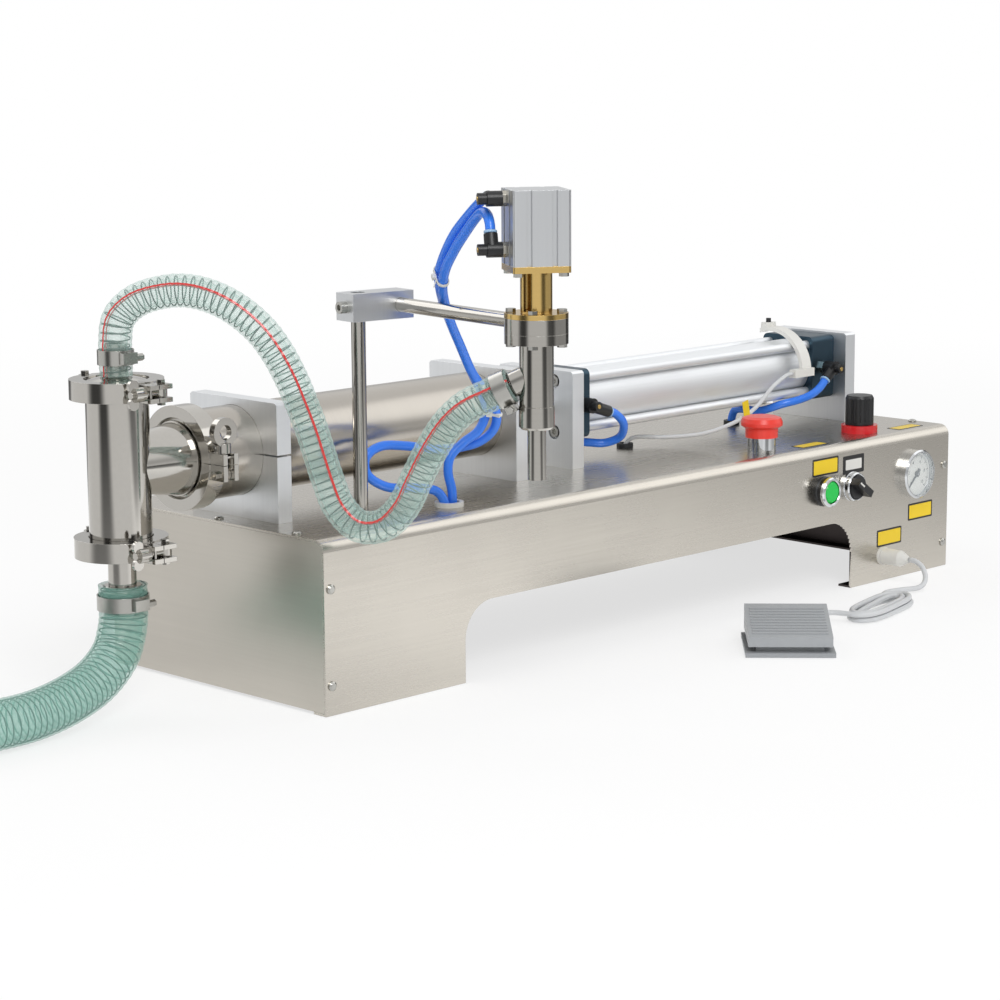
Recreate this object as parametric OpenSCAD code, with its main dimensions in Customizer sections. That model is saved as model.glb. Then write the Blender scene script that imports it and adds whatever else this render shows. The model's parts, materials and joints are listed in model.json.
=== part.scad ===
// Bench filler for liquids. A piston in a steel barrel, pulled by an air cylinder,
// draws liquid through a three-way check valve and pushes it to a nozzle on a post.
// X runs along the machine towards the controls, Y runs to the back, Z is up.
// The origin is the middle of the base, on the table.

/* [Base] */
// Length of the base
base_l = 843; // [800:1:900]
// Depth of the base from front to back
base_w = 276; // [250:1:320]
// Height of the deck above the table
base_h = 144; // [140:1:170]
// Thickness of the sheet steel
sheet = 2; // [1.5:0.5:3]
// Outside radius of the long folds
fold_r = 10; // [5:1:14]
// Width of the lips turned in along the bottom
lip_w = 15; // [8:1:25]
// Length of the arches in the front and back
arch_l = 528; // [400:1:560]
// Height of the arches
arch_h = 68; // [40:1:72]
// Corner radius of the arches
arch_r = 32; // [12:1:38]

/* [Barrel] */
// Outside diameter of the product barrel
barrel_d = 76; // [70:1:80]
// Wall of the product barrel
barrel_wall = 3; // [2:0.5:4]
// Stroke of both pistons
stroke = 250; // [150:1:255]
// Diameter of the piston rod
rod_d = 20; // [14:1:24]
// Height of the barrel axis above the deck
axis_rise = 56; // [50:1:65]
// Thickness of the four upright plates
plate_t = 15; // [12:1:18]
// Width of the plates at the barrel
barrel_plate_w = 111; // [104:1:124]
// Height of the plates at the barrel
barrel_plate_h = 100; // [98:1:115]

/* [Air cylinder] */
// Bore of the air cylinder
air_bore = 50; // [44:1:52]
// Wall of the air cylinder tube
air_wall = 3; // [2:0.5:4]
// Side of the square end caps
cap_w = 64; // [62:1:70]
// Width of the plates at the air cylinder
cyl_plate_w = 94; // [84:1:110]
// Height of the plates at the air cylinder
cyl_plate_h = 90; // [89:1:100]
// Diameter of the tie rods
tie_d = 9; // [6:0.5:9.5]
// Spacing of the tie rods across the cylinder
tie_pitch = 47; // [46.5:0.5:48]

/* [Check valve] */
// Outside diameter of the valve tube
valve_d = 50.8; // [48:0.1:52]
// Wall of the valve tube
valve_wall = 1.5; // [1.2:0.1:2]
// Distance between the two joints of the valve tube
valve_l = 128; // [126:1:150]
// Distance from the valve axis to the barrel joint
branch_l = 66; // [62:1:80]
// Diameter of the check balls
ball_d = 26; // [22:1:30]
// Lift of the check balls
ball_lift = 6; // [3:0.5:7]

/* [Nozzle] */
// Diameter of the post and of the arm
post_d = 12; // [10:0.5:14]
// Height of the arm above the deck
arm_rise = 176; // [150:1:220]
// Reach of the arm from the post to the nozzle
arm_reach = 195.4; // [120:0.1:230]
// Turn of the arm about the post in degrees
arm_turn = -8.4; // [-12:0.1:0]
// Side of the small air cylinder on the nozzle
head_w = 45.6; // [42:0.2:50]
// Height of the small air cylinder
head_h = 58; // [50:1:80]
// Diameter of the nozzle tube
nozzle_d = 27; // [24:0.5:30]
// Length of the outlet tube under the collar
tip_l = 40; // [20:1:80]
// Lift of the nozzle plunger
plunger_lift = 12; // [6:1:14]

/* [Controls] */
// Diameter of the head of the emergency stop
stop_head_d = 40; // [34:1:46]
// Diameter of the pressure knob
reg_knob_d = 28; // [24:1:32]
// Diameter of the pressure gauge
gauge_d = 49; // [40:1:54]
// Diameter of the rings round the push button and the selector
bezel_d = 29; // [26:0.5:32]
// Width of the foot switch
foot_w = 76; // [66:1:90]
// Depth of the foot switch
foot_l = 80; // [72:1:96]

/* [Hoses and tubes] */
// Outside diameter of the suction hose
suction_d = 40; // [38:0.5:41]
// Bore of the suction hose
suction_bore = 32; // [30:0.5:34]
// Outside diameter of the outlet hose
outlet_d = 27; // [25:0.5:28]
// Bore of the outlet hose
outlet_bore = 20; // [18:0.5:22]
// Outside diameter of the air tubes
air_tube_d = 8; // [6:0.5:8]
// Outside diameter of the foot switch cable
foot_cable_d = 5; // [4:0.5:5.5]

/* [Hidden] */
$fn = 64;

// How far cutting bodies run past what they cut
over = 1;
// Gap between pieces that are fitted together
fit_gap = 0.1;
// How far joined solids run into each other
bite = 1;
// Gap between pieces that slide or turn in each other
run_gap = 0.06;
// Gap between pieces that only pass each other
free_gap = 0.3;

// Places along the machine, from the left end
left_x = -base_l/2;
right_x = base_l/2;
front_y = -base_w/2;
axis_z = base_h + axis_rise;
block_inset = 24.5;
block_x = left_x + block_inset;
barrel_span = 279.5;
barrel_plate_x = block_x + barrel_span;
open_span = 82;
cyl_plate_x = barrel_plate_x + open_span;
cyl_span = 404;
rear_plate_x = cyl_plate_x + cyl_span;
joint_out = 53;
joint_x = block_x - joint_out;
valve_x = joint_x - branch_l;

// Screws
m5_r = 2.5;
m5_head_r = 4;
m5_head_h = 2.2;
m8_r = 4;
m8_head_r = 6.5;
m8_head_h = 8;
m6_r = 3;
m6_head_r = 5;
m6_head_h = 6;
hex_share = 0.55;
edge_in = 7;
screw_low_z = 24.5;
screw_high_z = 104;
deck_screw_y = 98;
panel_screw_l = 7;

// Barrel
barrel_r = barrel_d/2;
barrel_bore_r = barrel_r - barrel_wall;
neck_r = 33;
neck_l = 14;
barrel_seat = 7.5;
slit_w = 1.6;
piston_l = 30;
rod_r = rod_d/2;
rod_seat_l = 20;
seal_w = 5;
seal_depth = 4;
seal_inset = 3;
piston_back = 28;
piston_x = block_x - piston_back;
gland_wall = 4;

// Air cylinder
air_r = air_bore/2;
air_out_r = air_r + air_wall;
front_cap_l = 24;
rear_cap_l = 35;
cap_spigot_l = 6;
cap_corner_r = 6;
front_cap_x = cyl_plate_x + plate_t;
rear_cap_x = rear_plate_x - rear_cap_l;
air_piston_l = 30;
air_piston_gap = 2.5;
air_piston_x = front_cap_x + front_cap_l + cap_spigot_l + air_piston_gap;
rod_nut_w = 22;
rod_nut_l = 8;
rod_end_r = 7;
tie_r = tie_d/2;
tie_off = tie_pitch/2;
port_r = 5;
port_depth = 8;
port_inset = 12;

// Joints of the sanitary pipework
rim_t = 2.85;
rim_slope = 0.364;
gasket_t = 2;
small_rim_r = 32;
big_rim_r = 38.75;
small_clamp_w = 16;
big_clamp_w = 17;
small_clamp_r = 38;
big_clamp_r = 43.6;
small_hold_r = 26.2;
big_hold_r = 33.8;
ferrule_l = 9;
valve_r = valve_d/2;
valve_bore_r = valve_r - valve_wall;
valve_low_z = axis_z - valve_l/2;
valve_high_z = axis_z + valve_l/2;
seat_t = 6;
seat_r = 10;
ball_r = ball_d/2;
seat_drop = 34;
seat_rise = 12;
seat_high = valve_high_z - seat_drop;
ball_sit = sqrt(ball_r*ball_r - seat_r*seat_r) + run_gap;
low_ball_z = valve_low_z + seat_rise + ball_sit;
high_ball_z = seat_high + ball_sit;
stop_pin_r = 1.5;
branch_r = 31;
branch_root_r = 22;

// Post, arm and nozzle
post_in = 93;
post_back = 57;
post_x = left_x + post_in;
post_y = front_y + post_back;
post_r = post_d/2;
arm_z = base_h + arm_rise;
arm_off = 34.4;
arm_tail = 50;
block_w = 25;
block_h = 23;
block_left = 13;
block_right = 12.6;
post_cap = 4;
disc_d = 50;
disc_t = 12;
disc_drop = 1;
disc_z = arm_z - disc_drop - disc_t/2;
flange_t = 8;
flange_bolt_r = 20;
body_top_z = disc_z;
nozzle_r = nozzle_d/2;
nozzle_wall = 2;
nozzle_l = 57;
collar_d = 28;
collar_h = 18;
collar_z = body_top_z - nozzle_l - collar_h;
tip_r = 7.3;
tip_bore_r = 5.5;
tip_z = collar_z - tip_l;
brass_flange_t = 4;
brass_d = 25;
brass_h = 32;
brass_top_t = 5;
window_w = 7.5;
window_turn = 18;
window_in = 1;
brass_bore_r = 9.5;
brass_z = disc_z + disc_t;
head_z = brass_z + brass_flange_t + brass_h + brass_top_t;
head_turn = -25;
head_bore_r = 16;
head_floor = 5.5;
head_roof = 12;
plunger_r = 4;
plug_r = 8;
plug_l = 9;
piston_disc_t = 12;
barb_turn = 135;
barb_dip = 25;
barb_rise = 25;
barb_z = collar_z + collar_h + barb_rise;
barb_r = 9.6;
barb_l = 24;

// Controls: how far in from the right end of the base, how far back, how far down
stop_in = 256.5;
stop_back = 33;
reg_in = 98;
reg_back = 38;
start_in = 203.5;
start_down = 42;
select_in = 160;
select_down = 42.5;
gauge_in = 56.5;
gauge_down = 43;
plug_in = 107.5;
plug_z = 25;
grommet_in = 178.5;
grommet_back = 40;
stop_x = right_x - stop_in;
stop_y = front_y + stop_back;
reg_x = right_x - reg_in;
reg_y = front_y + reg_back;
start_x = right_x - start_in;
start_z = base_h - start_down;
select_x = right_x - select_in;
select_z = base_h - select_down;
gauge_x = right_x - gauge_in;
gauge_z = base_h - gauge_down;
plug_x = right_x - plug_in;
grommet_x = left_x + grommet_in;
grommet_y = front_y + grommet_back;

// Holes in the deck for the air tubes and the sensor cable: how far in from the rear or
// the front plate of the air cylinder, how far off the middle of the deck
rear_hole_in = [91.5, 26];
front_hole_in = [35.5, 0];
reed_hole_in = [274.5, 6];
rear_hole = [rear_plate_x - rear_hole_in[0], rear_hole_in[1]];
front_hole = [cyl_plate_x + front_hole_in[0], front_hole_in[1]];
reed_hole = [rear_plate_x - reed_hole_in[0], reed_hole_in[1]];
tube_hole_r = 6;
grommet_hole_r = 10.5;
grommet_bore_r = 9;
grommet_lip = 2;
grommet_t = 4;

// Small helpers
module along_x(x) { translate([x, 0, axis_z]) rotate([0, 90, 0]) children(); }
module out_of_panel(x, z) { translate([x, front_y, z]) rotate([90, 0, 0]) children(); }
module at_carriage() { translate([post_x, post_y, 0]) rotate([0, 0, arm_turn]) children(); }
module at_nozzle() { at_carriage() translate([arm_off, -arm_reach, 0]) children(); }
module ring(r_out, r_in, h) {
  difference() {
    cylinder(r = r_out, h = h);
    translate([0, 0, -over]) cylinder(r = r_in, h = h + 2*over);
  }
}
module socket_screw(head_r, head_h, shank_r, l) {
  difference() {
    cylinder(r = head_r, h = head_h);
    translate([0, 0, head_h*hex_share]) cylinder(r = head_r*hex_share, h = head_h, $fn = 6);
  }
  translate([0, 0, -l]) cylinder(r = shank_r, h = l);
}
module pan_screw(l) {
  rotate_extrude() polygon([[0, -l], [m5_r, -l], [m5_r, 0], [m5_head_r, 0],
    [m5_head_r, m5_head_h/2], [m5_r, m5_head_h], [0, m5_head_h]]);
}
module soft_square(w, r) {
  square([w, w - 2*r], center = true);
  square([w - 2*r, w], center = true);
  for (sx = [-1, 1], sy = [-1, 1]) translate([sx*(w/2 - r), sy*(w/2 - r)]) circle(r = r);
}
module channel_profile(w, h, r) {
  translate([-w/2, 0]) square([w, h - r]);
  translate([-w/2 + r, 0]) square([w - 2*r, h]);
  for (s = [-1, 1]) translate([s*(w/2 - r), h - r]) circle(r = r);
}

// Tubes: a round tube is swept along a smooth line through its route's points
function unit(v) = v/norm(v);
function spline(a, b, c, d, t) =
  0.5*((2*b) + (c - a)*t + (2*a - 5*b + 4*c - d)*t*t + (3*b - a - 3*c + d)*t*t*t);
function smooth(p, n) = [for (i = [0:len(p) - 2], k = [0:n - 1])
  spline(p[max(i - 1, 0)], p[i], p[i + 1], p[min(i + 2, len(p) - 1)], k/n), p[len(p) - 1]];
function run_of(p, i = 0, s = 0, a = []) = i == len(p) ? a :
  run_of(p, i + 1, s + (i + 1 < len(p) ? norm(p[i + 1] - p[i]) : 0), concat(a, [s]));
function even(p, n) = let (s = run_of(p), l = s[len(s) - 1],
  t = [for (k = [0:2]) [for (i = [0:len(p) - 1]) [s[i], p[i][k]]]])
  [for (j = [0:n]) [for (k = [0:2]) lookup(l*j/n, t[k])]];
function tangent(p, i) = unit(p[min(i + 1, len(p) - 1)] - p[max(i - 1, 0)]);
function carry(p, n, i = 0, a = []) = i == len(p) ? a :
  let (t = tangent(p, i), m = unit(n - (n*t)*t)) carry(p, m, i + 1, concat(a, [m]));
function side_of(t) = abs(t[2]) > 0.9 ? [1, 0, 0] : [0, 0, 1];
function ring_points(p, radii, sides) = let (ns = carry(p, side_of(tangent(p, 0))))
  [for (i = [0:len(p) - 1]) let (t = tangent(p, i), n = ns[i], b = cross(t, n))
    for (j = [0:sides - 1]) let (a = 360*j/sides)
      p[i] + radii[i]*(cos(a)*n + sin(a)*b)];
function wall_faces(first, rings, m, flip) = [for (i = [0:rings - 2], j = [0:m - 1])
  let (k = (j + 1)%m, a = first + i*m + j, b = first + i*m + k, c = b + m, d = a + m)
  each (flip ? [[a, c, d], [a, b, c]] : [[a, d, c], [a, c, b]])];
module solid_tube(p, r, m) {
  n = len(p);
  polyhedron(ring_points(p, [for (q = p) r], m), concat(wall_faces(0, n, m, false),
    [for (j = [1:m - 2]) [0, j, j + 1]],
    [for (j = [1:m - 2]) [(n - 1)*m, (n - 1)*m + j + 1, (n - 1)*m + j]]));
}
// A ribbed hose: two rings to a rib outside, a plain bore inside
module ribbed_hose(route, r_out, r_in, rib, ribs, m) {
  fine = smooth(route, 12);
  outer = even(fine, 2*ribs + 1);
  inner = even(fine, ceil(ribs/2));
  no = len(outer);
  ni = len(inner);
  q = no*m;
  po = ring_points(outer, [for (i = [0:no - 1])
    i < 3 || i > no - 4 ? r_out : r_out - rib*(i%2)], m);
  pi = ring_points(inner, [for (s = inner) r_in/cos(180/m)], m);
  polyhedron(concat(po, pi), concat(wall_faces(0, no, m, false), wall_faces(q, ni, m, true),
    [for (j = [0:m - 1]) let (k = (j + 1)%m) each [[j, k, q + k], [j, q + k, q + j]]],
    [for (j = [0:m - 1]) let (k = (j + 1)%m, a = (no - 1)*m, b = q + (ni - 1)*m)
      each [[a + j, b + k, a + k], [a + j, b + j, b + k]]]));
}

// Routes of the hoses, tubes and cables
suction_route = [[-516, 0, 104], [-516, 0, 92], [-516, 0, 80], [-519, -1, 66], [-530, -5, 48],
  [-556, -13, 33], [-590, -22, 25], [-625, -28, 21], [-660, -32, 21], [-695, -27, 21],
  [-724, 0, 21], [-736, 40, 21], [-728, 80, 21], [-702, 112, 21], [-664, 130, 21], [-620, 134, 21],
  [-576, 130, 21]];
outlet_route = [[-516, 0, 274], [-516, 0, 283], [-516, 0, 301], [-514, -3, 320], [-505, -15, 334],
  [-492, -33, 341], [-480, -49, 342], [-468, -66, 337], [-457, -82, 327], [-447, -97, 312],
  [-440, -108, 295], [-434, -117, 275], [-429, -124, 254], [-425, -130, 235], [-421, -135, 214],
  [-417, -140, 193], [-412, -147, 172], [-403, -160, 157], [-391, -176, 158], [-382, -190, 174],
  [-376, -199, 196], [-370, -210, 220], [-364, -221, 239], [-358, -231.5, 251.5],
  [-352.2, -240, 258.2], [-346.8, -247.3, 262.4], [-340.3, -256, 267.5], [-334.7, -263.6, 271.9]];
nozzle_tube_a = [[-344.8, -249.2, 417], [-340.5, -242.5, 416.6], [-335, -230, 411.5],
  [-329, -212, 401], [-322, -189, 385], [-314, -169, 367], [-305, -153, 350], [-291, -140, 333],
  [-272, -128, 312], [-250, -117, 289], [-229, -110, 262], [-213, -107, 240], [-206, -106, 222],
  [-212, -103, 206], [-225, -97, 196], [-236, -93, 185], [-240, -94, 172], [-239, -97, 159],
  [-239, -98, 148], [-239, -98, 120]];
nozzle_tube_b = [[-349.6, -256.4, 390.3], [-348.1, -254.2, 397.8], [-345.5, -248.5, 404.3],
  [-341.5, -239, 405], [-336.5, -227, 399.5], [-330.5, -210.5, 388], [-323, -189, 371],
  [-315, -170, 353], [-302, -154, 334], [-280, -139, 309], [-256, -127, 284], [-234, -119, 258],
  [-212, -117, 235], [-200, -113, 217], [-200, -106, 203], [-211, -95, 193], [-236, -80, 190],
  [-264, -69, 195], [-288, -63, 197], [-304, -61, 189], [-304, -63, 174], [-289, -71, 163],
  [-269, -82, 161], [-254, -93, 158], [-248, -98, 147], [-248, -98, 134], [-248, -98, 120]];
front_tube = [[16, -44, 192], [25.5, -44, 188.9], [39, -42, 178], [46, -32, 164], [40, -18, 157],
  [26, -8, 158], [11, -2, 160], [1, 0, 153], [0, 0, 140], [0, 0, 120]];
rear_tube = [[340, -44, 190], [331, -44, 182.2], [318, -42.5, 175.8], [304, -37, 171.5],
  [290, -28, 168], [280, -10, 161], [277, 8, 161], [277, 21, 159], [277, 26, 149], [277, 26, 136],
  [277, 26, 120]];
reed_route = [[288.8, -42.3, 200], [281, -42.5, 200], [270, -44, 197], [252, -46, 190],
  [234, -46, 177], [216, -46, 168], [190, -44, 160], [160, -36, 154], [130, -16, 152],
  [107, 1, 153], [97, 6, 149], [94, 6, 141], [94, 6, 130], [94, 6, 120]];
cable_from_plug = [[314, -171.3, 25], [314, -178, 25], [313, -188, 20], [307, -196, 11],
  [294, -199, 5], [276, -191, 4], [260, -186, 3.5], [249, -190, 3.2], [245, -202.5, 3.2],
  [247.4, -212.4, 3.2]];
cable_to_switch = [[138.2, -237.5, 8.8], [136, -228, 9], [130, -217, 9], [119, -209, 8],
  [105, -209, 8], [91, -218, 9], [81, -226.5, 9], [72.5, -234.2, 9]];

// Base: one bent sheet for the top, front and back, with a tray in each end
tray_w = base_w - 2*sheet - 2*fit_gap;
tray_low_z = sheet + fit_gap;
tray_h = base_h - sheet - fit_gap - tray_low_z;
tray_r = fold_r - sheet - fit_gap;
tray_flange = 16;
screw_x = base_l/2 - edge_in;
panel_screw_z = [screw_low_z, screw_high_z];
deck_screws = [for (s = [-1, 1], y = [-deck_screw_y, 0, deck_screw_y]) [s*screw_x, y]];
plate_xs = [block_x, barrel_plate_x, cyl_plate_x, rear_plate_x];
plate_bolt_y = 32;
stud_r = 4;
stop_neck_r = 13.5;
stop_body_r = 11;
reg_neck_r = 15;
button_body_r = 11;
gauge_step = 4.5;
gauge_body_r = gauge_d/2 - gauge_step;
plug_hole_r = 6;

module arch_profile() {
  translate([-arch_l/2, -over]) square([arch_l, arch_h - arch_r + over]);
  translate([-arch_l/2 + arch_r, -over]) square([arch_l - 2*arch_r, arch_h + over]);
  for (s = [-1, 1]) translate([s*(arch_l/2 - arch_r), arch_h - arch_r]) circle(r = arch_r);
}
module base_wrap() color("silver") difference() {
  translate([left_x, 0, 0]) rotate([90, 0, 90]) difference() {
    linear_extrude(base_l) channel_profile(base_w, base_h, fold_r);
    translate([0, sheet, -over]) linear_extrude(base_l + 2*over)
      channel_profile(base_w - 2*sheet, base_h - 2*sheet, fold_r - sheet);
    translate([-base_w/2 + lip_w, -over, -over])
      cube([base_w - 2*lip_w, sheet + 2*over, base_l + 2*over]);
  }
  rotate([90, 0, 0]) linear_extrude(base_w + 2*over, center = true) arch_profile();
  for (p = deck_screws) deck_hole(p[0], p[1], m5_r + fit_gap);
  for (s = [-1, 1], z = panel_screw_z) translate([s*screw_x, 0, z])
    rotate([90, 0, 0]) cylinder(r = m5_r + fit_gap, h = base_w + 2*over, center = true);
  for (x = plate_xs, s = [-1, 1]) deck_hole(x + plate_t/2, s*plate_bolt_y, m8_r + fit_gap);
  deck_hole(post_x, post_y, stud_r + fit_gap);
  deck_hole(stop_x, stop_y, stop_body_r + fit_gap);
  deck_hole(reg_x, reg_y, reg_neck_r + fit_gap);
  deck_hole(grommet_x, grommet_y, grommet_hole_r);
  for (p = [rear_hole, front_hole, reed_hole]) deck_hole(p[0], p[1], tube_hole_r);
  for (p = [[start_x, start_z, button_body_r], [select_x, select_z, button_body_r],
    [gauge_x, gauge_z, gauge_body_r], [plug_x, plug_z, plug_hole_r]])
    translate([p[0], front_y - over, p[1]]) rotate([-90, 0, 0])
      cylinder(r = p[2] + fit_gap, h = sheet + 2*over);
}
module deck_hole(x, y, r) {
  translate([x, y, base_h - sheet - over]) cylinder(r = r, h = sheet + 2*over);
}
module end_tray() difference() {
  translate([left_x, 0, tray_low_z]) rotate([90, 0, 90]) difference() {
    linear_extrude(tray_flange) channel_profile(tray_w, tray_h, tray_r);
    translate([0, sheet, sheet]) linear_extrude(tray_flange)
      channel_profile(tray_w - 2*sheet, tray_h - 2*sheet, max(tray_r - sheet, sheet));
  }
  for (z = panel_screw_z) translate([-screw_x, 0, z]) rotate([90, 0, 0])
    cylinder(r = m5_r + fit_gap, h = base_w, center = true);
  for (y = [-deck_screw_y, 0, deck_screw_y])
    translate([-screw_x, y, base_h/2]) cylinder(r = m5_r + fit_gap, h = base_h);
}
module end_plates() color("silver") for (s = [0, 1]) mirror([s, 0, 0]) end_tray();
module panel_screws() color("gainsboro") {
  for (s = [-1, 1], z = panel_screw_z) {
    translate([s*screw_x, front_y, z]) rotate([90, 0, 0]) pan_screw(panel_screw_l);
    translate([s*screw_x, -front_y, z]) rotate([-90, 0, 0]) pan_screw(panel_screw_l);
  }
  for (p = deck_screws) translate([p[0], p[1], base_h]) pan_screw(panel_screw_l);
}
module grommet(x, y, hole_r, bore_r) translate([x, y, base_h]) difference() {
  union() {
    cylinder(r = hole_r + grommet_lip, h = grommet_t);
    translate([0, 0, -sheet - fit_gap]) cylinder(r = hole_r - fit_gap, h = grommet_t);
    translate([0, 0, -sheet - fit_gap - grommet_lip])
      cylinder(r = hole_r + grommet_lip, h = grommet_lip);
  }
  translate([0, 0, -base_h/2]) cylinder(r = bore_r, h = base_h);
}
module deck_grommets() {
  color("white") grommet(grommet_x, grommet_y, grommet_hole_r, grommet_bore_r);
  color("dimgray") for (p = [rear_hole, front_hole, reed_hole])
    grommet(p[0], p[1], tube_hole_r, air_tube_d/2 + 2*free_gap);
}

// Upright plates and the screws in them
plate_chamfer = 1.5;
cap_screw_l = 10;
counterbore_r = m8_head_r + free_gap;
gland_r = rod_r + gland_wall;
module plate(x, w, h) translate([x, -w/2, base_h]) difference() {
  cube([plate_t, w, h]);
  for (y = [0, w]) translate([-over, y, h]) rotate([45, 0, 0])
    translate([0, -plate_chamfer, -plate_chamfer])
      cube([plate_t + 2*over, 2*plate_chamfer, 2*plate_chamfer]);
}
module plate_bolt_holes(x) for (s = [-1, 1])
  translate([x + plate_t/2, s*plate_bolt_y, base_h - over])
    cylinder(r = m8_r, h = cap_screw_l + over);
module barrel_block() color("silver") difference() {
  plate(block_x, barrel_plate_w, barrel_plate_h);
  along_x(block_x - over) cylinder(r = barrel_r + fit_gap, h = plate_t + 2*over);
  translate([block_x - over, -barrel_plate_w/2 - over, axis_z - slit_w/2])
    cube([plate_t + 2*over, barrel_plate_w/2 + over, slit_w]);
  plate_bolt_holes(block_x);
}
module barrel_end_plate() color("silver") difference() {
  plate(barrel_plate_x, barrel_plate_w, barrel_plate_h);
  along_x(barrel_plate_x - over) cylinder(r = barrel_r + fit_gap, h = barrel_seat + over);
  along_x(barrel_plate_x - over) cylinder(r = rod_r + run_gap, h = plate_t + 2*over);
  plate_bolt_holes(barrel_plate_x);
}
module at_ties(x) along_x(x) for (sy = [-1, 1], sz = [-1, 1])
  translate([sz*tie_off, sy*tie_off, 0]) children();
module cylinder_plates() color("silver") {
  difference() {
    plate(cyl_plate_x, cyl_plate_w, cyl_plate_h);
    along_x(cyl_plate_x - over) cylinder(r = rod_r + run_gap, h = plate_t + 2*over);
    at_ties(cyl_plate_x - over) cylinder(r = m6_r + fit_gap, h = plate_t + 2*over);
    at_ties(cyl_plate_x - over) cylinder(r = counterbore_r, h = m6_head_h + over);
    plate_bolt_holes(cyl_plate_x);
  }
  difference() {
    plate(rear_plate_x, cyl_plate_w, cyl_plate_h);
    at_ties(rear_plate_x - over) cylinder(r = m6_r + fit_gap, h = plate_t + 2*over);
    at_ties(rear_plate_x + plate_t - m6_head_h) cylinder(r = counterbore_r, h = m8_head_h);
    plate_bolt_holes(rear_plate_x);
  }
}
module plate_screws() color("gainsboro") {
  at_ties(cyl_plate_x + m6_head_h) mirror([0, 0, 1])
    socket_screw(m6_head_r, m6_head_h, m6_r, plate_t - m6_head_h + cap_screw_l);
  at_ties(rear_plate_x + plate_t - m6_head_h)
    socket_screw(m6_head_r, m6_head_h, m6_r, plate_t - m6_head_h + cap_screw_l);
  for (x = plate_xs, s = [-1, 1])
    translate([x + plate_t/2, s*plate_bolt_y, base_h - sheet]) mirror([0, 0, 1])
      socket_screw(m8_head_r, m8_head_h, m8_r, sheet + cap_screw_l);
}

// Product barrel, pistons and rod
barrel_start_x = joint_x + neck_l;
barrel_end_x = barrel_plate_x + barrel_seat;
ferrule_back = rim_t + (big_rim_r - neck_r)*rim_slope;
module barrel() color("lightgray") along_x(joint_x) rotate_extrude($fn = 96)
  polygon([[neck_r - barrel_wall, gasket_t/2], [big_rim_r, gasket_t/2],
    [big_rim_r, gasket_t/2 + rim_t], [neck_r, gasket_t/2 + ferrule_back],
    [neck_r, neck_l], [barrel_r, neck_l], [barrel_r, barrel_end_x - joint_x],
    [barrel_bore_r, barrel_end_x - joint_x], [barrel_bore_r, neck_l + barrel_wall],
    [neck_r - barrel_wall, neck_l + barrel_wall]]);
module product_piston() color("white") along_x(piston_x) rotate_extrude()
  polygon([[0, 0], [barrel_bore_r - run_gap, 0],
    [barrel_bore_r - run_gap, seal_inset],
    [barrel_bore_r - seal_depth, seal_inset],
    [barrel_bore_r - seal_depth, seal_inset + seal_w],
    [barrel_bore_r - run_gap, seal_inset + seal_w],
    [barrel_bore_r - run_gap, piston_l - seal_inset - seal_w],
    [barrel_bore_r - seal_depth, piston_l - seal_inset - seal_w],
    [barrel_bore_r - seal_depth, piston_l - seal_inset],
    [barrel_bore_r - run_gap, piston_l - seal_inset],
    [barrel_bore_r - run_gap, piston_l], [rod_r, piston_l],
    [rod_r, piston_l - rod_seat_l], [0, piston_l - rod_seat_l]]);
module piston_seals() color("black")
  for (d = [seal_inset, piston_l - seal_inset - seal_w]) along_x(piston_x + d)
    ring(barrel_bore_r - run_gap, barrel_bore_r - seal_depth, seal_w);
module piston_rod() color("silver") {
  x = piston_x + piston_l - rod_seat_l;
  l = air_piston_x - x;
  along_x(x) {
    cylinder(r = rod_r, h = l);
    cylinder(r = rod_end_r, h = l + air_piston_l + rod_nut_l/2);
    translate([0, 0, l + air_piston_l]) cylinder(d = rod_nut_w, h = rod_nut_l, $fn = 6);
  }
}
module air_piston() color("dimgray") along_x(air_piston_x) difference() {
  cylinder(r = air_r - run_gap, h = air_piston_l);
  translate([0, 0, -over]) cylinder(r = rod_end_r, h = air_piston_l + 2*over);
  for (z = [seal_inset + seal_w, air_piston_l - seal_inset - 2*seal_w])
    translate([0, 0, z]) ring(air_r + over, air_r - sheet, seal_w/2);
}

// Air cylinder
module air_caps() color("darkslategray") {
  along_x(front_cap_x) difference() {
    union() {
      linear_extrude(front_cap_l) soft_square(cap_w, cap_corner_r);
      cylinder(r = air_r - fit_gap/2, h = front_cap_l + cap_spigot_l);
    }
    translate([0, 0, -over])
      cylinder(r = rod_r + run_gap, h = front_cap_l + cap_spigot_l + 2*over);
    cap_holes(front_cap_l);
    cap_port(port_inset);
  }
  along_x(rear_cap_x) difference() {
    union() {
      linear_extrude(rear_cap_l) soft_square(cap_w, cap_corner_r);
      translate([0, 0, -cap_spigot_l]) cylinder(r = air_r - fit_gap/2, h = cap_spigot_l + bite);
    }
    cap_holes(rear_cap_l);
    cap_port(rear_cap_l - port_inset - port_r);
  }
}
module cap_holes(l) for (sy = [-1, 1], sz = [-1, 1])
  translate([sz*tie_off, sy*tie_off, -over]) cylinder(r = tie_r + fit_gap/2, h = l + 2*over);
module cap_port(d) translate([0, -cap_w/2 - over, d]) rotate([-90, 0, 0])
  cylinder(r = port_r, h = port_depth + over);
module air_tube() color("gainsboro") along_x(front_cap_x + front_cap_l)
  ring(air_out_r, air_r, rear_cap_x - front_cap_x - front_cap_l);
module tie_rods() color("gainsboro") at_ties(front_cap_x) difference() {
  cylinder(r = tie_r, h = rear_plate_x - front_cap_x);
  translate([0, 0, -over]) cylinder(r = m6_r, h = cap_screw_l + 2*over);
  translate([0, 0, rear_plate_x - front_cap_x - cap_screw_l - over])
    cylinder(r = m6_r, h = cap_screw_l + 2*over);
}

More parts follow.
